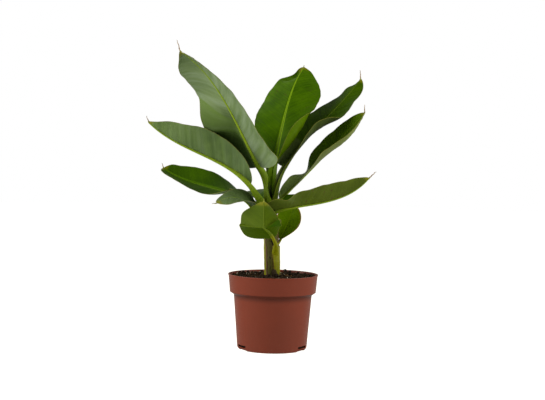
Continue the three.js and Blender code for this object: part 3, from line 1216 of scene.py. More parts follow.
@dataclass
class Pseudostem:
    """The stem: a core with old leaf sheaths wrapped round it.

    Attributes:
        foot: The height that it starts at.
        top: The height that it ends at.
        axis_x: Where its axis starts.
        lean: How far the axis leans, for each metre up.
        radii: Its radius at even steps from foot to top.
        relief: The height of the ribs along it.
        ribs: Their spacings round the stem, at `girth`.
        girth: The radius that distances round the core are measured at.
        sunk: How far the core starts below the foot.
        rounding: The share of the core that its top rounds off in.
        rows: The rows of the core, and of a wrap.
        sides: The sides of the core.
    """

    foot: float
    top: float
    axis_x: float = -0.0013
    lean: float = -0.0474
    radii: tuple[float, ...] = (0.0138, 0.0137, 0.0132, 0.0118)
    relief: float = 0.0003
    ribs: tuple[float, ...] = (0.0051, 0.0032, 0.0021)
    girth: float = 0.014
    sunk: float = 0.004
    rounding: float = 0.10
    rows: tuple[int, int] = (90, 70)
    sides: int = 72

    def axis(self, z: Array) -> Array:
        """The points of the stem's axis at some heights."""
        z = np.asarray(z, float)
        return np.stack([self.axis_x + self.lean * (z - self.foot), np.zeros_like(z), z], -1)

    def core(self) -> Piece:
        """Makes the core, a leaning column with ribs along it.

        Returns:
            The piece.
        """
        z = np.linspace(self.foot - self.sunk, self.top, self.rows[0])
        share = (z - z[0]) / (z[-1] - z[0])
        radius = np.interp(share, np.linspace(0, 1, len(self.radii)), self.radii)
        radius = radius * np.sqrt(np.clip((1.004 - share) / self.rounding, 0, 1))
        turn = np.linspace(0, 2 * np.pi, self.sides + 1)
        ribs = self.relief * ripple(turn[None] * self.girth + 0 * z[:, None], 5, self.ribs)
        ring = np.stack([np.cos(turn), np.sin(turn), 0 * turn], -1)
        places = self.axis(z)[:, None] + ring * (radius[:, None] + ribs)[..., None]
        piece = shaped_grid("stem_core", places)
        rows, columns = places.shape[:2]
        none = np.zeros(rows * columns)
        store(piece, run=np.repeat(z - z[0], columns), across=np.tile(turn * self.girth, rows),
              channel=none, lip=none, sheath=none + 1, midrib=none)
        close_tube(piece)
        smooth_by_angle(piece)
        return piece

    def wrap(self, plan: Wrap) -> Piece:
        """Wraps one old sheath round the core.

        Args:
            plan: The sheath.

        Returns:
            The piece.
        """
        rows = self.rows[1]
        z = self.foot + np.linspace(plan.bottom, plan.bottom + plan.height, rows)
        share = np.linspace(0, 1, rows)
        out = direction(np.full(rows, plan.heading), np.zeros(rows))
        wave = ripple(share * plan.height, plan.seed, (0.045, 0.028, 0.017))
        reach = plan.reach[0] + (plan.reach[1] - plan.reach[0]) * share ** 1.5 + 3 * wave
        outer = plan.radii[0] + (plan.radii[1] - plan.radii[0]) * share + 0.0002 * wave
        ends = np.sqrt(np.clip(np.minimum(share, 1 - share) / 0.02, 0.05, 1))
        strip = Crescent(
            centre=self.axis(z),
            run=np.tile([self.lean, 0, 1.0], (rows, 1)),
            upper=-out,
            outer=outer - plan.wall * 0.5 * (1 - ends),
            inner=outer - plan.wall * (0.5 + 0.5 * ends),
            left=reach,
            right=reach + 2 * np.roll(wave, 9),
            marks={"sheath": np.ones(rows), "midrib": np.zeros(rows)},
            outer_steps=48,
            inner_steps=24,
        )
        return strip.build(plan.name)

    def build(self) -> None:
        """Makes the core and its wraps and dresses them."""
        core = self.core()
        core.data.materials.append(STEM_GREEN.material())
        hand_over(core, Slot.STEM, "pseudostem")
        for plan in WRAPS:
            piece = self.wrap(plan)
            piece.data.materials.append(plan.skin.material())
            hand_over(piece, Slot.STEM)


# ---- Leaves ----


@dataclass(frozen=True)
class Wave:
    """A local change along a half blade.

    Attributes:
        at: Its middle, from base (0) to tip (1).
        spread: How far it reaches along the blade.
        fold: What it adds to the fold, in degrees.
        width: What it adds to the width, as a share.
        lip: How far it turns the outer half of the blade, in degrees.
        extra: Whether the frame's plain blade goes without it.
    """

    at: float
    spread: float
    fold: float = 0.0
    width: float = 0.0
    lip: float = 0.0
    extra: bool = False

    def strength(self, s: Array) -> Array:
        """How strongly the wave acts at each place along the blade."""
        return np.exp(-(((s - self.at) / self.spread) ** 2))


@dataclass(frozen=True)
class Ridge:
    """A ridge that runs slantwise across half a blade.

    Attributes:
        hand: -1 for the left half, 1 for the right.
        at: Where it leaves the midrib, from base (0) to tip (1).
        slant: How much further along the blade it meets the margin.
        fall: How far it falls away towards the base and towards the tip, along the blade.
        height: Its height, in metres; a valley's is negative.
    """

    hand: int
    at: float
    slant: float
    fall: tuple[float, float]
    height: float

    def lift(self, s: Array, out: Array) -> Array:
        """The ridge's height over a blade.

        Args:
            s: The rows' places from base to tip.
            out: The columns' shares of the half width, negative on the left.

        Returns:
            The height for each row and column.
        """
        off = s[:, None] - self.at - self.slant * np.abs(out)
        slope = np.exp(-((off / np.where(off < 0, *self.fall)) ** 2))
        return self.height * slope * smooth(out * self.hand / 0.35)


@dataclass(frozen=True)
class Half:
    """Half a blade.

    Attributes:
        width: Its greatest width.
        fold: How far it folds up at the midrib, at base, middle and tip.
        curl: How far it curls from there to its margin, at base, middle and tip.
        waves: Its local changes.
    """

    width: float
    fold: Triple
    curl: Triple
    waves: tuple[Wave, ...] = ()

    def total(self, s: Array, key: str, plain: bool = False) -> Array:
        """What the waves add to one of the half's values.

        Args:
            s: Places from base (0) to tip (1).
            key: The name of the value.
            plain: Leaves out the waves that the frame's plain blade goes without.

        Returns:
            The sum at each place.
        """
        waves = [w for w in self.waves if not (plain and w.extra)]
        return sum((getattr(w, key) * w.strength(s) for w in waves), 0 * s)


@dataclass(frozen=True)
class Tone:
    """The finishes of one leaf.

    Attributes:
        upper: Its upper side.
        under: Its underside.
        stalk: Its sheath, stalk and midrib.
    """

    upper: BladeSkin
    under: BladeSkin
    stalk: StalkSkin


@dataclass
class BananaLeaf:
    """One leaf: a blade on a midrib that runs down its stalk into a sheath round the stem.

    Attributes:
        name: The leaf's name in the frame.
        length: The blade's length along its midrib.
        widest: Where the blade is widest, from base (0) to tip (1).
        ends: How full the blade is towards its base and its tip.
        heading: The midrib's heading at base, middle and tip.
        rise: Its rise above level at base, middle and tip.
        roll: How the blade rolls about it.
        left: The left half.
        right: The right half.
        girth: The thickness of stalk and midrib, against the plan's own.
        root: Where the stalk leaves the stem.
        tail: The length, heading and rise of the dry thread.
        tone: The finishes.
        crease: The place, spread and bend of a crease across the blade.
        bare: How much of the midrib has no blade yet, negative where the blade starts early.
        full_base: How full the blade really is towards its base, where the frame's is plainer.
        clasp: How far the sheath reaches round the stem to each side, at its foot and its top.
        creep: How far its foot is turned round the stem.
        sheath: The sheath's length.
        twist: How far the stalk is twisted between stem and blade.
        bow: How far the stalk's middle is pushed aside.
        stout: How much stouter the stalk's foot is than the plan's own.
        release: Where along the stalk the sheath has let go of the stem.
        folds: The wavelengths of the pleats along the side veins.
        ridges: The ridges across the blade.
        nest: The sheath's radius on the stem.
        seed: Picks the leaf's small waves.
        rows: The rows of the blade.
        columns: The columns of each half.
        sweep: How far the columns sweep forward.
        vein_slant: How far the side veins slant, for each metre out.
        thickness: The blade's thickness.
        end_width: The least half width.
        pleat: The height of the pleats.
        frill: The height of the wavy margin.
        uneven: How uneven the margin is, as a share of the width.
        taper: Places from base to tip, and the midrib's radius at each.
        foot_radius: The stalk's radius at its foot.
        sheath_rows: The rows of the sheath.
        stalk_rows: The rows of the stalk.
        sheath_wall: The sheath's thickness.
        flare: How much closer to the stem's axis the sheath is at its foot.
        open_grip: How far round the stalk its arc reaches to each side.
        rib_grip: How far round the midrib it does.
        thread_radius: The dry thread's radius where it starts.
        thread_sides: Its sides.
        thread_rows: Its rows.
        frame_rows: The rows of the frame's plain blade.
    """

    name: str
    length: float
    widest: float
    ends: tuple[float, float]
    heading: Triple
    rise: Triple
    roll: Triple
    left: Half
    right: Half
    girth: float
    root: Triple
    tail: Triple
    tone: Tone
    nest: float
    seed: int
    crease: Triple | None = None
    bare: float = 0.0
    full_base: float | None = None
    clasp: tuple[float, float] = (118.0, 118.0)
    creep: float = 0.0
    sheath: float = 0.045
    twist: float = 0.0
    bow: Triple = (0.0, 0.0, 0.0)
    stout: float = 1.0
    release: float = 0.45
    folds: tuple[float, ...] = (0.0213, 0.0137, 0.0091, 0.0067)
    ridges: tuple[Ridge, ...] = ()
    rows: int = 150
    columns: int = 20
    sweep: float = 18.0
    vein_slant: float = 0.5
    thickness: float = 0.0005
    end_width: float = 0.0006
    pleat: float = 0.00028
    frill: float = 0.0006
    uneven: float = 0.006
    taper: tuple[tuple[float, ...], ...] = ((0, 0.15, 0.5, 1), (0.0050, 0.0030, 0.0018, 0.0007))
    foot_radius: float = 0.0062
    sheath_rows: int = 24
    stalk_rows: int = 60
    sheath_wall: float = 0.0014
    flare: float = 0.0016
    open_grip: float = 105
    rib_grip: float = 70
    thread_radius: float = 0.0014
    thread_sides: int = 8
    thread_rows: int = 22
    frame_rows: int = 14

    def __post_init__(self) -> None:
        """Puts the leaf where the frame has its plain blade."""
        self.base = np.zeros(3)
        s = np.linspace(0, 1, self.frame_rows)
        plain = np.concatenate([self.half(s, hand, plain=True)[0].reshape(-1, 3) for hand in (-1, 1)])
        lo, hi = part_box(f"blade_{self.name}")
        self.base = np.array((lo + hi) / 2) - (plain.min(0) + plain.max(0)) / 2

    def places(self) -> Array:
        """Spaces out the blade's rows, closer together at both ends.

        Returns:
            Their places from base (0) to tip (1), from below 0 where the blade starts early.
        """
        x = np.linspace(0, 1, self.rows)
        start = min(0.0, self.bare)
        return start + (1 - start) * (0.25 * x + 0.75 * (1 - np.cos(np.pi * x)) / 2)

    def fullness(self, s: Array, plain: bool) -> Array:
        """Gives the half width, with or without what the plain blade leaves out.

        Args:
            s: Places from base to tip.
            plain: Whether it is the frame's plain blade.

        Returns:
            The half width at each place, as a share of the greatest.
        """
        bare, base_end = (0.0, self.ends[0]) if plain else (self.bare, self.full_base or self.ends[0])
        s = np.clip((s - bare) / (1 - bare), 0, 1)
        to_base = np.clip((self.widest - s) / self.widest, 0, 1)
        to_tip = np.clip((s - self.widest) / (1 - self.widest), 0, 1)
        base = np.sqrt(1 - to_base ** base_end)
        return np.where(s < self.widest, base, (1 - to_tip ** self.ends[1]) ** 0.65)

    def axes(self, s: Array) -> tuple[Array, Array, Array]:
        """Gives the blade's own axes along the midrib.

        Args:
            s: Places from base to tip.

        Returns:
            The midrib's run, the leaf's right-hand side and its upper side at each place.
        """
        heading, rise = along(self.heading, s), along(self.rise, s)
        if self.crease:
            at, spread, bend = self.crease
            rise = rise + bend / (1 + np.exp(-(s - at) / spread))
        run = direction(heading, rise)
        right = direction(heading - 90, 0 * s)
        upper = np.cross(right, run)
        roll = np.radians(along(self.roll, s))[:, None]
        return (run, right * np.cos(roll) + upper * np.sin(roll),
                upper * np.cos(roll) - right * np.sin(roll))

    def midrib(self, s: Array) -> Array:
        """Follows the midrib.

        Args:
            s: Rising places from base to tip.

        Returns:
            The midrib's points, as count x 3.
        """
        steps = 400
        fine = np.linspace(0, 1, steps + 1)
        run, _, _ = self.axes((fine[1:] + fine[:-1]) / 2)
        points = np.concatenate([np.zeros((1, 3)), np.cumsum(run, 0) * self.length / steps])
        before = np.minimum(s, 0)[:, None] * self.length * run[0]
        return self.base + before + np.stack([np.interp(s, fine, points[:, k]) for k in range(3)], -1)

    def rib_radius(self, s: Array) -> Array:
        """The midrib's radius at each place."""
        return self.girth * np.interp(s, *self.taper)

    def half(self, s: Array, hand: int,
             plain: bool = False) -> tuple[Array, Array, Array]:
        """Sweeps one half of the blade out from the midrib.

        Args:
            s: The rows' places from base to tip.
            hand: -1 for the left half, 1 for the right.
            plain: Leaves out the uneven margin and the changes to the base.

        Returns:
            The points as rows x columns x 3, the half width of each row, and each column's
            share of it.
        """
        plan = self.left if hand < 0 else self.right
        run, right, upper = self.axes(s)
        width = plan.width * self.fullness(s, plain) * (1 + plan.total(s, "width", plain))
        wave = ripple(s * self.length, self.seed + hand, (0.061, 0.034, 0.019))
        width = np.maximum(width * (1 + (not plain) * self.uneven * wave), self.end_width)
        sweep = math.radians(self.sweep)
        outward = right * hand * math.cos(sweep) + run * math.sin(sweep)
        crowding, lip_from, lip_over = 1.4, 0.45, 0.5
        share = np.linspace(0, 1, self.columns + 1) ** crowding
        t = (share[1:] + share[:-1]) / 2
        turn = (along(plan.fold, s) + plan.total(s, "fold", plain))[:, None]
        turn = turn + along(plan.curl, s)[:, None] * t
        turned_lip = plan.total(s, "lip", plain)[:, None] * smooth((t - lip_from) / lip_over)
        turn = np.radians(turn + turned_lip)
        steps = np.cos(turn)[..., None] * outward[:, None] + np.sin(turn)[..., None] * upper[:, None]
        steps = steps * (width[:, None] * np.diff(share))[..., None]
        start = self.midrib(s)[:, None]
        return np.concatenate([start, start + np.cumsum(steps, 1)], 1), width, share

    def relief(self, run: Array, slant: Array, out: Array,
               width: Array) -> Array:
        """Gives the blade's relief: its ridges, its pleats and its wavy margin.

        Args:
            run: The distance along the blade of each row.
            slant: The distance along the side veins at each point.
            out: Each column's share of the half width, negative on the left.
            width: The half width at each point.

        Returns:
            The height at each point.
        """
        folds = np.where(out < 0, ripple(slant, self.seed + 3, self.folds),
                         ripple(slant, self.seed + 4, self.folds))
        ruffle = np.where(out < 0, ripple(run, self.seed + 5, (0.071, 0.047, 0.033)),
                          ripple(run, self.seed + 6, (0.067, 0.043, 0.036)))
        ease = smooth(np.abs(out) / 0.12) * np.minimum(1, width / 0.015)
        ridges = sum((ridge.lift(run[:, 0] / self.length, out) for ridge in self.ridges), 0.0)
        still = smooth((1 - np.abs(out)) / 0.3)
        frill = self.frill * ruffle * np.abs(out) ** 2.5 * ease
        return ridges + self.pleat * folds * ease * still + frill

    def blade(self) -> None:
        """Makes the blade: a thin sheet with a groove over the midrib, pleats and a wavy margin."""
        s = self.places()
        left, left_width, share = self.half(s, -1)
        right, right_width, _ = self.half(s, 1)
        places = np.concatenate([left[:, ::-1], right[:, 1:]], 1)
        out = np.concatenate([-share[::-1], share[1:]])
        width = np.where(out < 0, left_width[:, None], right_width[:, None])
        across = out * width
        run = (s * self.length)[:, None]
        slant = run - self.vein_slant * np.abs(across)
        radius = self.rib_radius(s)[:, None]
        groove = 0.32 * radius * (1 - smooth(np.abs(across) / (1.1 * radius)))
        normal = unit(np.cross(np.gradient(places, axis=1), np.gradient(places, axis=0)))
        lift = self.relief(run, slant, out, width) - groove
        piece = shaped_grid(f"leaf_{self.name}", places + normal * lift[..., None])
        runs = np.broadcast_to(run, across.shape)
        store(piece, run=runs, across=across, vein=slant, from_rib=np.abs(across) / radius,
              from_edge=width - np.abs(across), from_tip=self.length - runs)
        piece.data.materials.append(self.tone.upper.material())
        piece.data.materials.append(self.tone.under.material())
        apply_modifier(piece, "SOLIDIFY", thickness=self.thickness, offset=0, material_offset=1,
                       material_offset_rim=0)
        smooth_by_angle(piece, 60)
        hand_over(piece, Slot.BLADE, f"blade_{self.name}")

    def stalk(self, stem: Pseudostem, outward: Array) -> tuple[Array, Array]:
        """Leads the stalk from the stem to the blade, before the sheath pulls it in.

        Args:
            stem: The stem.
            outward: The level way from the stem to the stalk's root.

        Returns:
            The stalk's points and its upper side at each.
        """
        root = np.array(self.root)
        neck = self.midrib(np.zeros(1))[0]
        run, _, upper = (v[0] for v in self.axes(np.zeros(1)))
        reach = 0.4 * np.linalg.norm(neck - root)
        bow = np.array(self.bow)
        knots = [root, root + np.array([stem.lean, 0, 1]) * reach + bow, neck - run * reach + bow, neck]
        u = np.linspace(0, 1, self.stalk_rows)[:, None]
        points = sum(math.comb(3, k) * (1 - u) ** (3 - k) * u ** k * p for k, p in enumerate(knots))
        turn_in = smooth((u - 0.1) / 0.8)
        uppers = -outward * (1 - turn_in) + upper * turn_in
        way = unit(np.gradient(points, axis=0))
        turned = np.radians(self.twist * np.sin(np.pi * u) ** 2)
        return points, uppers * np.cos(turned) + np.cross(way, uppers) * np.sin(turned)

    def grips(self, wrapped: Array, rise_in: Array, s: Array) -> list[Array]:
        """Gives the reach of the arc along sheath, stalk and midrib.

        Args:
            wrapped: How far each row of the stalk still holds the stem.
            rise_in: The places of the sheath's rows, from foot to top.
            s: The places of the midrib's rows, from base to tip.

        Returns:
            The reach on the left and on the right.
        """
        foot, top = self.clasp
        settle = smooth(s / 0.05)
        grip = np.concatenate([
            foot + (top - foot) * rise_in,
            self.open_grip + (top - self.open_grip) * np.sqrt(wrapped),
            self.open_grip + (self.rib_grip - self.open_grip) * settle,
        ])
        sides = []
        for plan in (self.left, self.right):
            fold = np.clip((along(plan.fold, s) + plan.total(s, "fold")) * settle, -60, 60)
            sides.append(grip + np.concatenate([np.zeros(len(grip) - len(s)), fold]))
        return sides

    def limb(self, stem: Pseudostem) -> None:
        """Makes the sheath, the stalk and the midrib as one crescent that tapers to the tip.

        Args:
            stem: The stem.
        """
        root = np.array(self.root)
        outward = root - stem.axis(root[2])
        outward = unit(np.array([outward[0], outward[1], 0]))
        stalk, stalk_upper = self.stalk(stem, outward)
        u = np.linspace(0, 1, self.stalk_rows)
        wrapped = 1 - smooth(u / self.release)
        stalk_centre = stalk + (stem.axis(stalk[:, 2]) - stalk) * wrapped[:, None]
        rise_in = np.linspace(0, 1, self.sheath_rows)
        low = root[2] + np.linspace(-self.sheath, -0.0008, self.sheath_rows)
        s = self.places()[1:-2]
        s = s[s > 0]
        centre = np.concatenate([stem.axis(low), stalk_centre, self.midrib(s)])
        creep = math.degrees(math.atan2(outward[1], outward[0])) + self.creep * (1 - rise_in)
        uppers = np.concatenate([-direction(creep, 0 * creep), stalk_upper, self.axes(s)[2]])
        foot_radius, neck_radius = self.foot_radius * self.stout, 0.96 * self.taper[1][0]
        petiole = self.girth * (foot_radius + (neck_radius - foot_radius) * u)
        sheath_radius = self.nest - self.flare * (1 - rise_in)
        outer = np.concatenate([sheath_radius, petiole + (self.nest - petiole) * wrapped,
                                self.rib_radius(s)])
        hollow = np.concatenate([1 - self.sheath_wall / sheath_radius, 0.22 + 0.66 * wrapped,
                                 np.interp(s, [0, 0.1, 1], [0.22, 0.15, 0.1])])
        left, right = self.grips(wrapped, rise_in, s)
        before = np.zeros(self.sheath_rows + self.stalk_rows)
        strip = Crescent(
            centre=centre,
            run=np.gradient(centre, axis=0),
            upper=uppers,
            outer=outer,
            inner=outer * hollow,
            left=left,
            right=right,
            marks={"sheath": np.concatenate([np.ones(self.sheath_rows), wrapped, np.zeros(len(s))]),
                   "midrib": np.concatenate([before, smooth(s / 0.2)])},
        )
        piece = strip.build(f"stalk_and_rib_{self.name}")
        piece.data.materials.append(self.tone.stalk.material())
        hand_over(piece, Slot.STALK, f"stalk_{self.name}", f"rib_{self.name}")

    def thread(self) -> None:
        """Makes the dry thread, a thin tube that wanders on from the tip."""
        length, heading, rise = self.tail
        start, overlap, sway_height, map_radius = 0.985, 0.004, 0.0006, 0.0012
        rows, columns = self.thread_rows, self.thread_sides + 1
        steps = np.linspace(0, 1, rows)
        run = self.axes(np.ones(1))[0][0]
        aim = direction(np.array([heading]), np.array([rise]))[0]
        turn_in = smooth(steps / 0.35)[:, None]
        way = unit(run * (1 - turn_in) + aim * turn_in)
        moves = np.cumsum(way[1:], 0) * (length + overlap) / (rows - 1)
        centre = self.midrib(np.array([start]))[0] + np.concatenate([np.zeros((1, 3)), moves])
        sway = np.stack([ripple(steps, self.seed + k, (0.9, 0.5, 0.31)) for k in (7, 8, 9)], -1)
        centre = centre + sway_height * sway * steps[:, None]
        side = unit(np.cross(way, [0.3, 1.0, 0.2]))
        upper = np.cross(side, way)
        rough = 1 + 0.15 * ripple(steps, self.seed, (0.3, 0.17))
        radius = self.thread_radius * (1 - 0.7 * steps) * rough
        turn = np.linspace(0, 2 * np.pi, columns)[:, None]
        ring = np.cos(turn) * side[:, None] + np.sin(turn) * upper[:, None]
        piece = shaped_grid(f"dry_thread_{self.name}", centre[:, None] + ring * radius[:, None, None])
        store(piece, run=np.repeat(steps * length, columns),
              across=np.tile(turn[:, 0] * map_radius, rows))
        close_tube(piece)
        smooth_by_angle(piece, 60)
        piece.data.materials.append(DryThread().material())
        hand_over(piece, Slot.DRY_TIP)

    def build(self, stem: Pseudostem) -> None:
        """Makes the whole leaf.

        Args:
            stem: The stem that it grows from.
        """
        self.blade()
        self.limb(stem)
        self.thread()


# ---- The studio ----


@dataclass(frozen=True)
class Panel:
    """A soft light panel that faces the plant.

    Attributes:
        name: Its name.
        place: Where it hangs.
        power: Its power, in watts.
        size: Its width and height.
        aim: The place that it faces.
    """

    name: str
    place: Triple
    power: float
    size: tuple[float, float] = (1.6, 1.8)
    aim: Triple = (0, 0, 0.25)

    def hang(self, colour: Colour) -> None:
        """Hangs the panel.

        Args:
            colour: The colour of its light.
        """
        data = bpy.data.lights.new(self.name, "AREA")
        data.shape = "RECTANGLE"
        data.size, data.size_y = self.size
        data.energy = self.power
        data.color = colour
        light = bpy.data.objects.new(self.name, data)
        bpy.context.scene.collection.objects.link(light)
        place = Vector(self.place)
        turn = (Vector(self.aim) - place).to_track_quat("-Z", "Y").to_matrix().to_4x4()
        light.matrix_world = Matrix.Translation(place) @ turn


@dataclass
class Studio:
    """A white floor, soft light from all round and the camera at the front.

    Attributes:
        distance: How far in front of the origin the camera stands.
        eye: Its height.
        aim: The place that it looks at.
        lens: Its focal length, in millimetres on a sensor `sensor` wide.
        lean: How far it is tilted sideways.
        warmth: The colour of the light.
        tent: Places from front (0) to back (1), and how bright the surroundings are at each.
        panels: The light panels.
        floor_radius: The floor's radius.
        floor_tones: The two greys of the floor's grain.
        floor_glow: The colour that the floor gives off, `floor_strength` strong.
    """

    distance: float = 2.2
    eye: float = 0.370
    aim: Triple = (-0.0038, 0.0, 0.2813)
    lens: float = 77.09
    sensor: float = 36.0
    lean: float = 1.06
    warmth: Colour = (1.0, 0.97, 0.88)
    tent: tuple[tuple[float, float], ...] = ((0.08, 0.01), (0.40, 0.25), (0.65, 0.35), (0.95, 0.7))
    panels: tuple[Panel, ...] = (Panel("left_panel", (-1.5, -0.5, 1.0), 42),
                                 Panel("right_panel", (1.5, -0.5, 1.0), 37))
    floor_radius: float = 6
    floor_tones: tuple[Colour, Colour] = ((0.40, 0.40, 0.40), (0.42, 0.42, 0.42))
    floor_glow: Colour = (1.0, 0.99, 0.93)
    floor_strength: float = 0.97

    def camera(self) -> None:
        """Sets up the camera, turned a little about its own view."""
        data = bpy.data.cameras.new("front_view")
        data.lens, data.sensor_width, data.sensor_fit = self.lens, self.sensor, "HORIZONTAL"
        camera = bpy.data.objects.new("front_view", data)
        bpy.context.scene.collection.objects.link(camera)
        place = Vector((0, -self.distance, self.eye))
        forward = (Vector(self.aim) - place).normalized()
        level = forward.cross(Vector((0, 0, 1))).normalized()
        above = level.cross(forward)
        c, s = math.cos(math.radians(self.lean)), math.sin(math.radians(self.lean))
        right, up = level * c + above * s, above * c - level * s
        turn = Matrix((right, up, -forward)).transposed().to_4x4()
        camera.matrix_world = Matrix.Translation(place) @ turn
        bpy.context.scene.camera = camera

    def floor(self) -> None:
        """Lays the pale floor."""
        bpy.ops.object.select_all(action="DESELECT")
        bpy.ops.mesh.primitive_circle_add(vertices=64, radius=self.floor_radius, fill_type="NGON")
        floor = bpy.context.active_object
        floor.name = floor.data.name = "pale_floor"
        f = Finish("pale_floor")
        finish = f.finish(
            Base_Color=f.mix(f.noise(f.place(), 30, 2), *self.floor_tones),
            Roughness=0.9,
            Emission_Color=self.floor_glow,
            Emission_Strength=self.floor_strength,
            Specular_IOR_Level=0.0,
        )
        finish.cycles.emission_sampling = "NONE"
        floor.data.materials.append(finish)
        floor.visible_glossy = False

    def tent_light(self, tree: bpy.types.NodeTree) -> None:
        """Lights the world's background, dim at the front and bright at the back.

        Args:
            tree: The world's nodes.
        """
        axes = tree.nodes.new("ShaderNodeSeparateXYZ")
        tree.links.new(tree.nodes.new("ShaderNodeTexCoord").outputs["Generated"], axes.inputs[0])
        back = tree.nodes.new("ShaderNodeMath")
        back.operation = "MULTIPLY_ADD"
        back.inputs[1].default_value = back.inputs[2].default_value = 0.5
        tent = tree.nodes.new("ShaderNodeValToRGB")
        while len(tent.color_ramp.elements) < len(self.tent):
            tent.color_ramp.elements.new(0.5)
        for stop, (place, glow) in zip(tent.color_ramp.elements, self.tent):
            stop.position, stop.color = place, (*(glow * share for share in self.warmth), 1)
        tree.links.new(axes.outputs["Y"], back.inputs[0])
        tree.links.new(back.outputs[0], tent.inputs[0])
        tree.links.new(tent.outputs[0], tree.nodes["Background"].inputs["Color"])

    def surroundings(self) -> None:
        """Sets up the soft surroundings, which stay plain white behind the plant."""
        world = bpy.data.worlds.new("white_tent")
        world.use_nodes = True
        bpy.context.scene.world = world
        tree = world.node_tree
        light, seen = tree.nodes["Background"], tree.nodes.new("ShaderNodeBackground")
        seen.inputs["Color"].default_value = (1, 1, 1, 1)
        self.tent_light(tree)
        mix = tree.nodes.new("ShaderNodeMixShader")
        ray = tree.nodes.new("ShaderNodeLightPath")
        tree.links.new(ray.outputs["Is Camera Ray"], mix.inputs["Fac"])
        tree.links.new(light.outputs[0], mix.inputs[1])
        tree.links.new(seen.outputs[0], mix.inputs[2])
        tree.links.new(mix.outputs[0], tree.nodes["World Output"].inputs["Surface"])
        bpy.context.scene.view_settings.view_transform = "Standard"

    def build(self) -> None:
        """Sets up the whole studio."""
        self.camera()
        self.floor()
        self.surroundings()
        for panel in self.panels:
            panel.hang(self.warmth)


# ---- The plant ----

VIVID = BladeSkin(
    "vivid_upper", light=(0.056, 0.128, 0.0002), deep=(0.022, 0.062, 0.0001), rib=(0.17, 0.30, 0.004),
    blotch_share=0.5, veins=1.2, gloss=0.03, seed=1,
)
DEEP = BladeSkin(
    "deep_upper", light=(0.040, 0.090, 0.0004), deep=(0.020, 0.048, 0.0003), rib=(0.07, 0.12, 0.004),
    base=(0.060, 0.085, 0.024), base_reach=0.075, base_share=0.8, gloss=0.02, seed=2,
)
MID = BladeSkin(
    "mid_upper", light=(0.036, 0.086, 0.0008), deep=(0.018, 0.050, 0.0005), rib=(0.085, 0.165, 0.004),
    rib_width=1.5, gloss=0.04, seed=3,
)
LIME = BladeSkin(
    "lime_upper", light=(0.130, 0.240, 0.0003), deep=(0.080, 0.155, 0.0002), rib=(0.15, 0.24, 0.004),
    edge=(0.33, 0.19, 0.045), edge_width=0.0035, veins=0.4, gloss=0.03, seed=7,
)
CALM = BladeSkin(
    "calm_upper", light=(0.036, 0.086, 0.0005), deep=(0.022, 0.058, 0.0003), rib=(0.052, 0.118, 0.001),
    rib_width=4.6, veins=0.4, gloss=0.03, seed=11,
)
# Its pale base zone is the blade's paler, waxy base, made lighter still as painted light on the shaded
# inside of the fold.
LOBE = BladeSkin(
    "lobed_upper", light=(0.064, 0.128, 0.0010), deep=(0.042, 0.092, 0.0006), rib=(0.12, 0.18, 0.006),
    base=(0.165, 0.230, 0.066), base_reach=0.085, base_share=0.85, veins=0.25, gloss=0.03, seed=8,
)
# The greener, darker base zone below the ridge on the right half is painted shade, and so is the dark
# shade at that half's foot; the grey bloom above the ridge is the underside's real waxy bloom and also a
# painted sheen.
BLOOM = BladeSkin(
    "bloom_under", light=(0.112, 0.168, 0.046), deep=(0.060, 0.102, 0.030), rib=(0.20, 0.28, 0.012),
    bloom=(0.21, 0.27, 0.175), bloom_share=0.62, base=(0.082, 0.145, 0.014), base_reach=0.116,
    base_share=0.7, base_slant=0.8, base_hand=1, shade_reach=0.15, shade_share=0.85, veins=1.7, seed=4,
    roughness=0.5,
)
# Its shade is painted shade near the blade's base, by the stem.
SAGE = BladeSkin(
    "sage_under", light=(0.098, 0.160, 0.034), deep=(0.050, 0.092, 0.020), rib=(0.18, 0.27, 0.012),
    bloom=(0.15, 0.20, 0.115), bloom_share=0.33, shade=(0.03, 0.055, 0.012), shade_share=0.55,
    veins=1.3, seed=5, roughness=0.5,
)
OLIVE = BladeSkin(
    "olive_under", light=(0.054, 0.072, 0.003), deep=(0.032, 0.048, 0.002), rib=(0.12, 0.165, 0.006),
    bloom=(0.09, 0.11, 0.02), bloom_share=0.1, blotch=(0.06, 0.032, 0.01), blotch_share=0.6, gloss=0.08,
    seed=6, roughness=0.48,
)
KHAKI = BladeSkin(
    "khaki_under", light=(0.062, 0.090, 0.005), deep=(0.042, 0.062, 0.003), rib=(0.14, 0.19, 0.006),
    base=(0.085, 0.120, 0.014), base_reach=0.085, base_from=0.2, base_share=0.6,
    blotch=(0.06, 0.032, 0.01), blotch_share=1.0, gloss=0.06, seed=12, roughness=0.48,
)
# Its shade is painted shade near the blade's base.
PALE = BladeSkin(
    "pale_under", light=(0.120, 0.150, 0.036), deep=(0.078, 0.102, 0.022), rib=(0.15, 0.20, 0.008),
    shade_share=0.5, veins=0.8, gloss=0.06, seed=13, roughness=0.5,
)
DUSK = BladeSkin(
    "dusk_under", light=(0.058, 0.084, 0.016), deep=(0.038, 0.058, 0.010), rib=(0.10, 0.15, 0.006),
    bloom=(0.09, 0.12, 0.05), bloom_share=0.2, gloss=0.06, seed=14, roughness=0.5,
)
FOLD = BladeSkin(
    "folded_under", light=(0.092, 0.165, 0.001), deep=(0.062, 0.120, 0.001), rib=(0.12, 0.165, 0.006),
    gloss=0.04, seed=10, roughness=0.48,
)
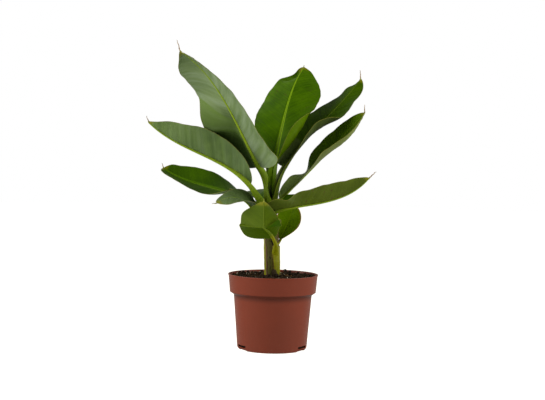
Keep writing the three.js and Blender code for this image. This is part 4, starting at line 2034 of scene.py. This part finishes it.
# Its darker base zone is painted shade on the blade below the crease, which faces down.
HOOD = BladeSkin(
    "hood_under", light=(0.070, 0.110, 0.002), deep=(0.046, 0.080, 0.0015), rib=(0.13, 0.18, 0.006),
    base=(0.036, 0.070, 0.0004), base_reach=0.0385, base_share=0.85, veins=0.7, gloss=0.06, seed=9,
    roughness=0.46,
)
STALK_GREEN = StalkSkin(
    "stalk_green", light=(0.165, 0.245, 0.008), deep=(0.100, 0.170, 0.008),
    channel=(0.045, 0.068, 0.022), rib=(0.17, 0.25, 0.010),
)
STALK_VIVID = StalkSkin(
    "stalk_vivid", light=(0.090, 0.170, 0.003), deep=(0.060, 0.120, 0.003),
    channel=(0.085, 0.165, 0.001), rib=(0.12, 0.2, 0.006),
)
STALK_DEEP = StalkSkin(
    "stalk_deep", light=(0.100, 0.140, 0.006), deep=(0.038, 0.062, 0.004),
    channel=(0.026, 0.042, 0.006), rib=(0.07, 0.11, 0.006),
)
STEM_GREEN = StalkSkin(
    "stem_green", light=(0.200, 0.200, 0.004), deep=(0.120, 0.122, 0.005), channel=(0.05, 0.07, 0.02),
    margin=(0.080, 0.042, 0.024), margin_from=0.81, spot_share=0.25,
)
STEM_YELLOW = StalkSkin(
    "stem_yellow", light=(0.190, 0.195, 0.0015), deep=(0.125, 0.132, 0.002), channel=(0.09, 0.11, 0.01),
    rib=(0.078, 0.118, 0.004), margin=(0.10, 0.055, 0.015), margin_from=0.9, spot_share=0.2,
)
STEM_OLIVE = StalkSkin(
    "stem_olive", light=(0.074, 0.068, 0.010), deep=(0.038, 0.036, 0.008), channel=(0.05, 0.05, 0.02),
    spots=(0.012, 0.009, 0.005), spot_share=0.3,
)
STEM_DRY = StalkSkin(
    "stem_dry", light=(0.055, 0.036, 0.014), deep=(0.020, 0.014, 0.008), channel=(0.03, 0.02, 0.01),
    margin=(0.012, 0.008, 0.005), spot_share=0.4, roughness=0.7,
)

WRAPS = (
    Wrap("wrap_inner", heading=262, reach=(78, 70), radii=(0.0147, 0.0134), bottom=-0.003,
         height=0.118, skin=STEM_OLIVE, seed=1),
    Wrap("wrap_back", heading=50, reach=(74, 62), radii=(0.0150, 0.0137), bottom=-0.003,
         height=0.116, skin=STEM_GREEN, seed=3),
    Wrap("wrap_left", heading=151, reach=(82, 74), radii=(0.0155, 0.0140), bottom=-0.003,
         height=0.112, skin=STEM_GREEN, seed=2),
    Wrap("wrap_torn", heading=284, reach=(24, 6), radii=(0.0163, 0.0149), bottom=-0.003,
         height=0.018, skin=STEM_DRY, seed=5),
)


def leaves() -> list[BananaLeaf]:
    """Plans the twelve leaves.

    Returns:
        The leaves, from the front's left round to the back.
    """
    sage = Tone(MID, SAGE, STALK_GREEN)
    olive = Tone(MID, OLIVE, STALK_GREEN)
    bloom = Tone(MID, BLOOM, STALK_GREEN)
    vivid = Tone(VIVID, FOLD, STALK_VIVID)
    deep = Tone(DEEP, DUSK, STALK_DEEP)
    return [
        BananaLeaf(
            name="upper_left", length=0.281, widest=0.28, ends=(3.4, 2.8),
            heading=(241, 220, 211), rise=(42, 53, 26), roll=(-4, 2, -4),
            left=Half(0.084, fold=(-16, -3, -10), curl=(-22, -25, -18),
                      waves=(Wave(0.1, 0.07, width=0.26, extra=True),)),
            right=Half(0.059, fold=(-21, 2, -50), curl=(-22, -12, -50),
                       waves=(Wave(0.38, 0.12, fold=-50),)),
            girth=1.25, root=(-0.011, -0.006, 0.246), tail=(0.02, 190, 75), tone=bloom, nest=0.0124,
            seed=10, twist=-85, stout=2.1, bow=(0.008, 0.0, 0.0),
            ridges=(Ridge(hand=1, at=0.41, slant=0.17, fall=(0.035, 0.12), height=-0.004),
                    Ridge(hand=1, at=0.66, slant=0.12, fall=(0.07, 0.05), height=0.002),
                    Ridge(hand=1, at=0.22, slant=0.1, fall=(0.08, 0.08), height=0.0045),
                    Ridge(hand=-1, at=0.42, slant=0.1, fall=(0.1, 0.2), height=0.002)),
        ),
        BananaLeaf(
            name="left", length=0.26, widest=0.54, ends=(1.3, 1.4),
            heading=(199, 200, 204), rise=(58, 23, 43), roll=(0, 2, 7),
            left=Half(0.05, fold=(20, 61, 33), curl=(-15, 3, -9),
                      waves=(Wave(0.87, 0.07, fold=16),)),
            right=Half(0.05, fold=(25, 25, 25), curl=(-10, -10, -10)),
            girth=1.45, root=(-0.013, -0.009, 0.238), tail=(0.011, 190, 70), tone=sage, nest=0.0136,
            seed=20, bare=0.12, full_base=2.2, stout=2.0, pleat=0.0009,
            folds=(0.067, 0.041, 0.019, 0.0105),
            taper=((0, 0.12, 0.3, 0.5, 1), (0.0068, 0.0045, 0.0026, 0.0018, 0.0007)),
        ),
        BananaLeaf(
            name="lower_left", length=0.187, widest=0.42, ends=(1.4, 1.6),
            heading=(164, 160, 157), rise=(21, 12, 33), roll=(-2, -3, 4),
            left=Half(0.047, fold=(0, 0, 0), curl=(-13, -3, -3),
                      waves=(Wave(0.34, 0.25, fold=-21, lip=27),
                             Wave(0.0, 0.14, fold=45, width=-0.45, extra=True),
                             Wave(0.96, 0.07, width=0.35, extra=True))),
            right=Half(0.052, fold=(3, 35, 34), curl=(-24, 3, 4),
                       waves=(Wave(0.96, 0.07, width=0.35, extra=True),)),
            girth=0.8, root=(-0.013, 0.003, 0.24), tail=(0.009, 175, 75),
            tone=Tone(CALM, SAGE, STALK_GREEN), nest=0.0137, seed=30, pleat=0.0002, frill=0.0003,
            bare=-0.12, full_base=2.4,
        ),
        BananaLeaf(
            name="small_left", length=0.082, widest=0.51, ends=(2.2, 2.4),
            heading=(213, 211, 208), rise=(49, 9, -38), roll=(0, 0, 0),
            left=Half(0.03, fold=(16, -9, -10), curl=(-5, -17, -12)),
            right=Half(0.021, fold=(29, 8, 8), curl=(3, -3, -2),
                       waves=(Wave(0.15, 0.4, fold=32, width=0.5, extra=True),)),
            girth=0.6, root=(-0.012, -0.008, 0.232), tail=(0.006, 200, -10),
            tone=Tone(SAGE, SAGE, STALK_GREEN), nest=0.0139, seed=40, bare=-0.15,
        ),
        BananaLeaf(
            name="upper_right", length=0.238, widest=0.62, ends=(1.5, 1.5),
            heading=(68, 69, 57), rise=(61, 56, 39), roll=(-10, 1, -6),
            left=Half(0.076, fold=(46, -12, -4), curl=(22, -9, 10),
                      waves=(Wave(0.94, 0.08, fold=-50, lip=120),
                             Wave(0.86, 0.035, width=0.09, extra=True))),
            right=Half(0.061, fold=(28, -6, -20), curl=(12, -11, -15),
                       waves=(Wave(0.17, 0.19, width=0.8, lip=146, extra=True),)),
            girth=1.45, root=(-0.006, 0.004, 0.25), tail=(0.004, 57, 60), tone=vivid, nest=0.0118,
            seed=50, stout=1.9,
        ),
        BananaLeaf(
            name="high_right", length=0.262, widest=0.27, ends=(3.4, 1.6),
            heading=(54, 37, 27), rise=(43, 40, 51), roll=(8, 0, -3),
            left=Half(0.058, fold=(11, 13, -14), curl=(-14, -5, -15),
                      waves=(Wave(0.89, 0.06, fold=10),)),
            right=Half(0.056, fold=(23, 2, -43), curl=(5, 47, -17),
                       waves=(Wave(0.55, 0.14, fold=-24),)),
            girth=1.2, root=(-0.001, 0.0, 0.248), tail=(0.017, 150, 84), tone=deep, nest=0.0121,
            seed=60, stout=1.25,
        ),
        BananaLeaf(
            name="right", length=0.24, widest=0.56, ends=(2.4, 1.8),
            heading=(31, 19, 11), rise=(38, 45, 47), roll=(0, 3, 0),
            left=Half(0.039, fold=(32, 25, 29), curl=(-14, 0, 4),
                      waves=(Wave(0.31, 0.08, fold=-27, width=-0.45),)),
            right=Half(0.056, fold=(1, 26, 8), curl=(-11, 17, 24),
                       waves=(Wave(0.71, 0.3, fold=-41, lip=33),
                              Wave(0.02, 0.17, width=-0.97, extra=True))),
            girth=0.9, root=(0.001, 0.0, 0.24), tail=(0.015, 90, 85),
            tone=Tone(LOBE, PALE, STALK_GREEN), nest=0.0134, seed=70,
        ),
        BananaLeaf(
            name="lower_right", length=0.196, widest=0.57, ends=(1.4, 1.3),
            heading=(-33, -17, -8), rise=(18, 13, 53), roll=(-4, -1, 0),
            left=Half(0.042, fold=(30, 20, 15), curl=(0, 0, 0),
                      waves=(Wave(0.02, 0.16, fold=14, extra=True),
                             Wave(-0.04, 0.11, width=0.3, extra=True))),
            right=Half(0.049, fold=(34, 41, 50), curl=(-5, -6, 4),
                       waves=(Wave(0.18, 0.07, fold=-14),)),
            girth=1.0, root=(-0.002, -0.008, 0.232), tail=(0.017, -5, 45),
            tone=Tone(MID, KHAKI, STALK_GREEN), nest=0.014, seed=80, full_base=3.0, bare=-0.13,
            stout=1.3, pleat=0.0002,
        ),
        BananaLeaf(
            name="small_front", length=0.088, widest=0.3, ends=(3.2, 1.3),
            heading=(-124, -118, -105), rise=(49, 17, 22), roll=(-10, -2, -4),
            left=Half(0.037, fold=(28, 22, 32), curl=(25, 20, 26),
                      waves=(Wave(0.05, 0.2, width=-0.5, extra=True),)),
            right=Half(0.054, fold=(-8, 4, 16), curl=(0, 4, 12),
                       waves=(Wave(0.72, 0.18, width=0.35, extra=True),)),
            girth=0.75, root=(0.0076, -0.0102, 0.165), tail=(0.003, 90, 70),
            tone=Tone(MID, HOOD, STEM_YELLOW), nest=0.0158, seed=90, crease=(0.45, 0.004, 72),
            clasp=(30, 35), creep=10, sheath=0.035, release=0.75, sweep=5, uneven=0.003, pleat=0.0001,
            frill=0.0003,
            taper=((0, 0.36, 0.5, 1), (0.0046, 0.0034, 0.0016, 0.0007)),
        ),
        BananaLeaf(
            name="small_right", length=0.073, widest=0.43, ends=(2.3, 1.9),
            heading=(39, 48, 57), rise=(52, 62, 67), roll=(0, -3, 2),
            left=Half(0.015, fold=(15, 21, 19), curl=(-4, 1, -1),
                      waves=(Wave(0.7, 0.55, width=1.1, fold=-12, extra=True),)),
            right=Half(0.028, fold=(7, -1, 15), curl=(-2, -9, 4)),
            girth=0.6, root=(0.0105, -0.003, 0.194), tail=(0.003, 50, 70),
            tone=Tone(LIME, SAGE, STEM_YELLOW), nest=0.016, seed=100, clasp=(66, 74), sheath=0.067,
            release=1.0, stout=1.6, uneven=0.003, frill=0.0003, pleat=0.0001,
        ),
        BananaLeaf(
            name="back", length=0.19, widest=0.45, ends=(2.4, 2.0),
            heading=(104, 100, 96), rise=(46, 24, -14), roll=(0, 0, 0),
            left=Half(0.046, fold=(26, 18, 8), curl=(0, -8, -12)),
            right=Half(0.046, fold=(26, 18, 8), curl=(0, -8, -12)),
            girth=1.0, root=(-0.009, 0.007, 0.244), tail=(0.01, 96, -20), tone=olive, nest=0.0127,
            seed=110,
        ),
        BananaLeaf(
            name="lower_back", length=0.125, widest=0.45, ends=(2.2, 2.0),
            heading=(120, 122, 126), rise=(14, 2, -12), roll=(0, 0, 0),
            left=Half(0.034, fold=(16, 14, 6), curl=(0, -6, -10),
                      waves=(Wave(0.06, 0.16, width=0.9, extra=True),)),
            right=Half(0.036, fold=(24, 14, 6), curl=(0, -6, -10),
                       waves=(Wave(0.06, 0.16, width=0.6, extra=True),)),
            girth=0.8, root=(-0.012, 0.007, 0.236), tail=(0.008, 134, -20), tone=sage, nest=0.0138,
            seed=120, bare=-0.1, full_base=3,
        ),
    ]


def main() -> None:
    """Builds the pot, the soil, the stem, the leaves and the studio."""
    logging.basicConfig(level=logging.INFO, format="%(name)s: %(message)s")
    pot_low, pot_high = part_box("pot")
    NurseryPot(rim_radius=(pot_high.x - pot_low.x) / 2, height=pot_high.z - pot_low.z).build()
    SoilBed(level=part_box("soil")[1].z).build()
    stem_low, stem_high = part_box("pseudostem")
    stem = Pseudostem(foot=stem_low.z, top=stem_high.z)
    stem.build()
    for leaf in leaves():
        leaf.build(stem)
    Studio().build()


if __name__ == "__main__":
    main()
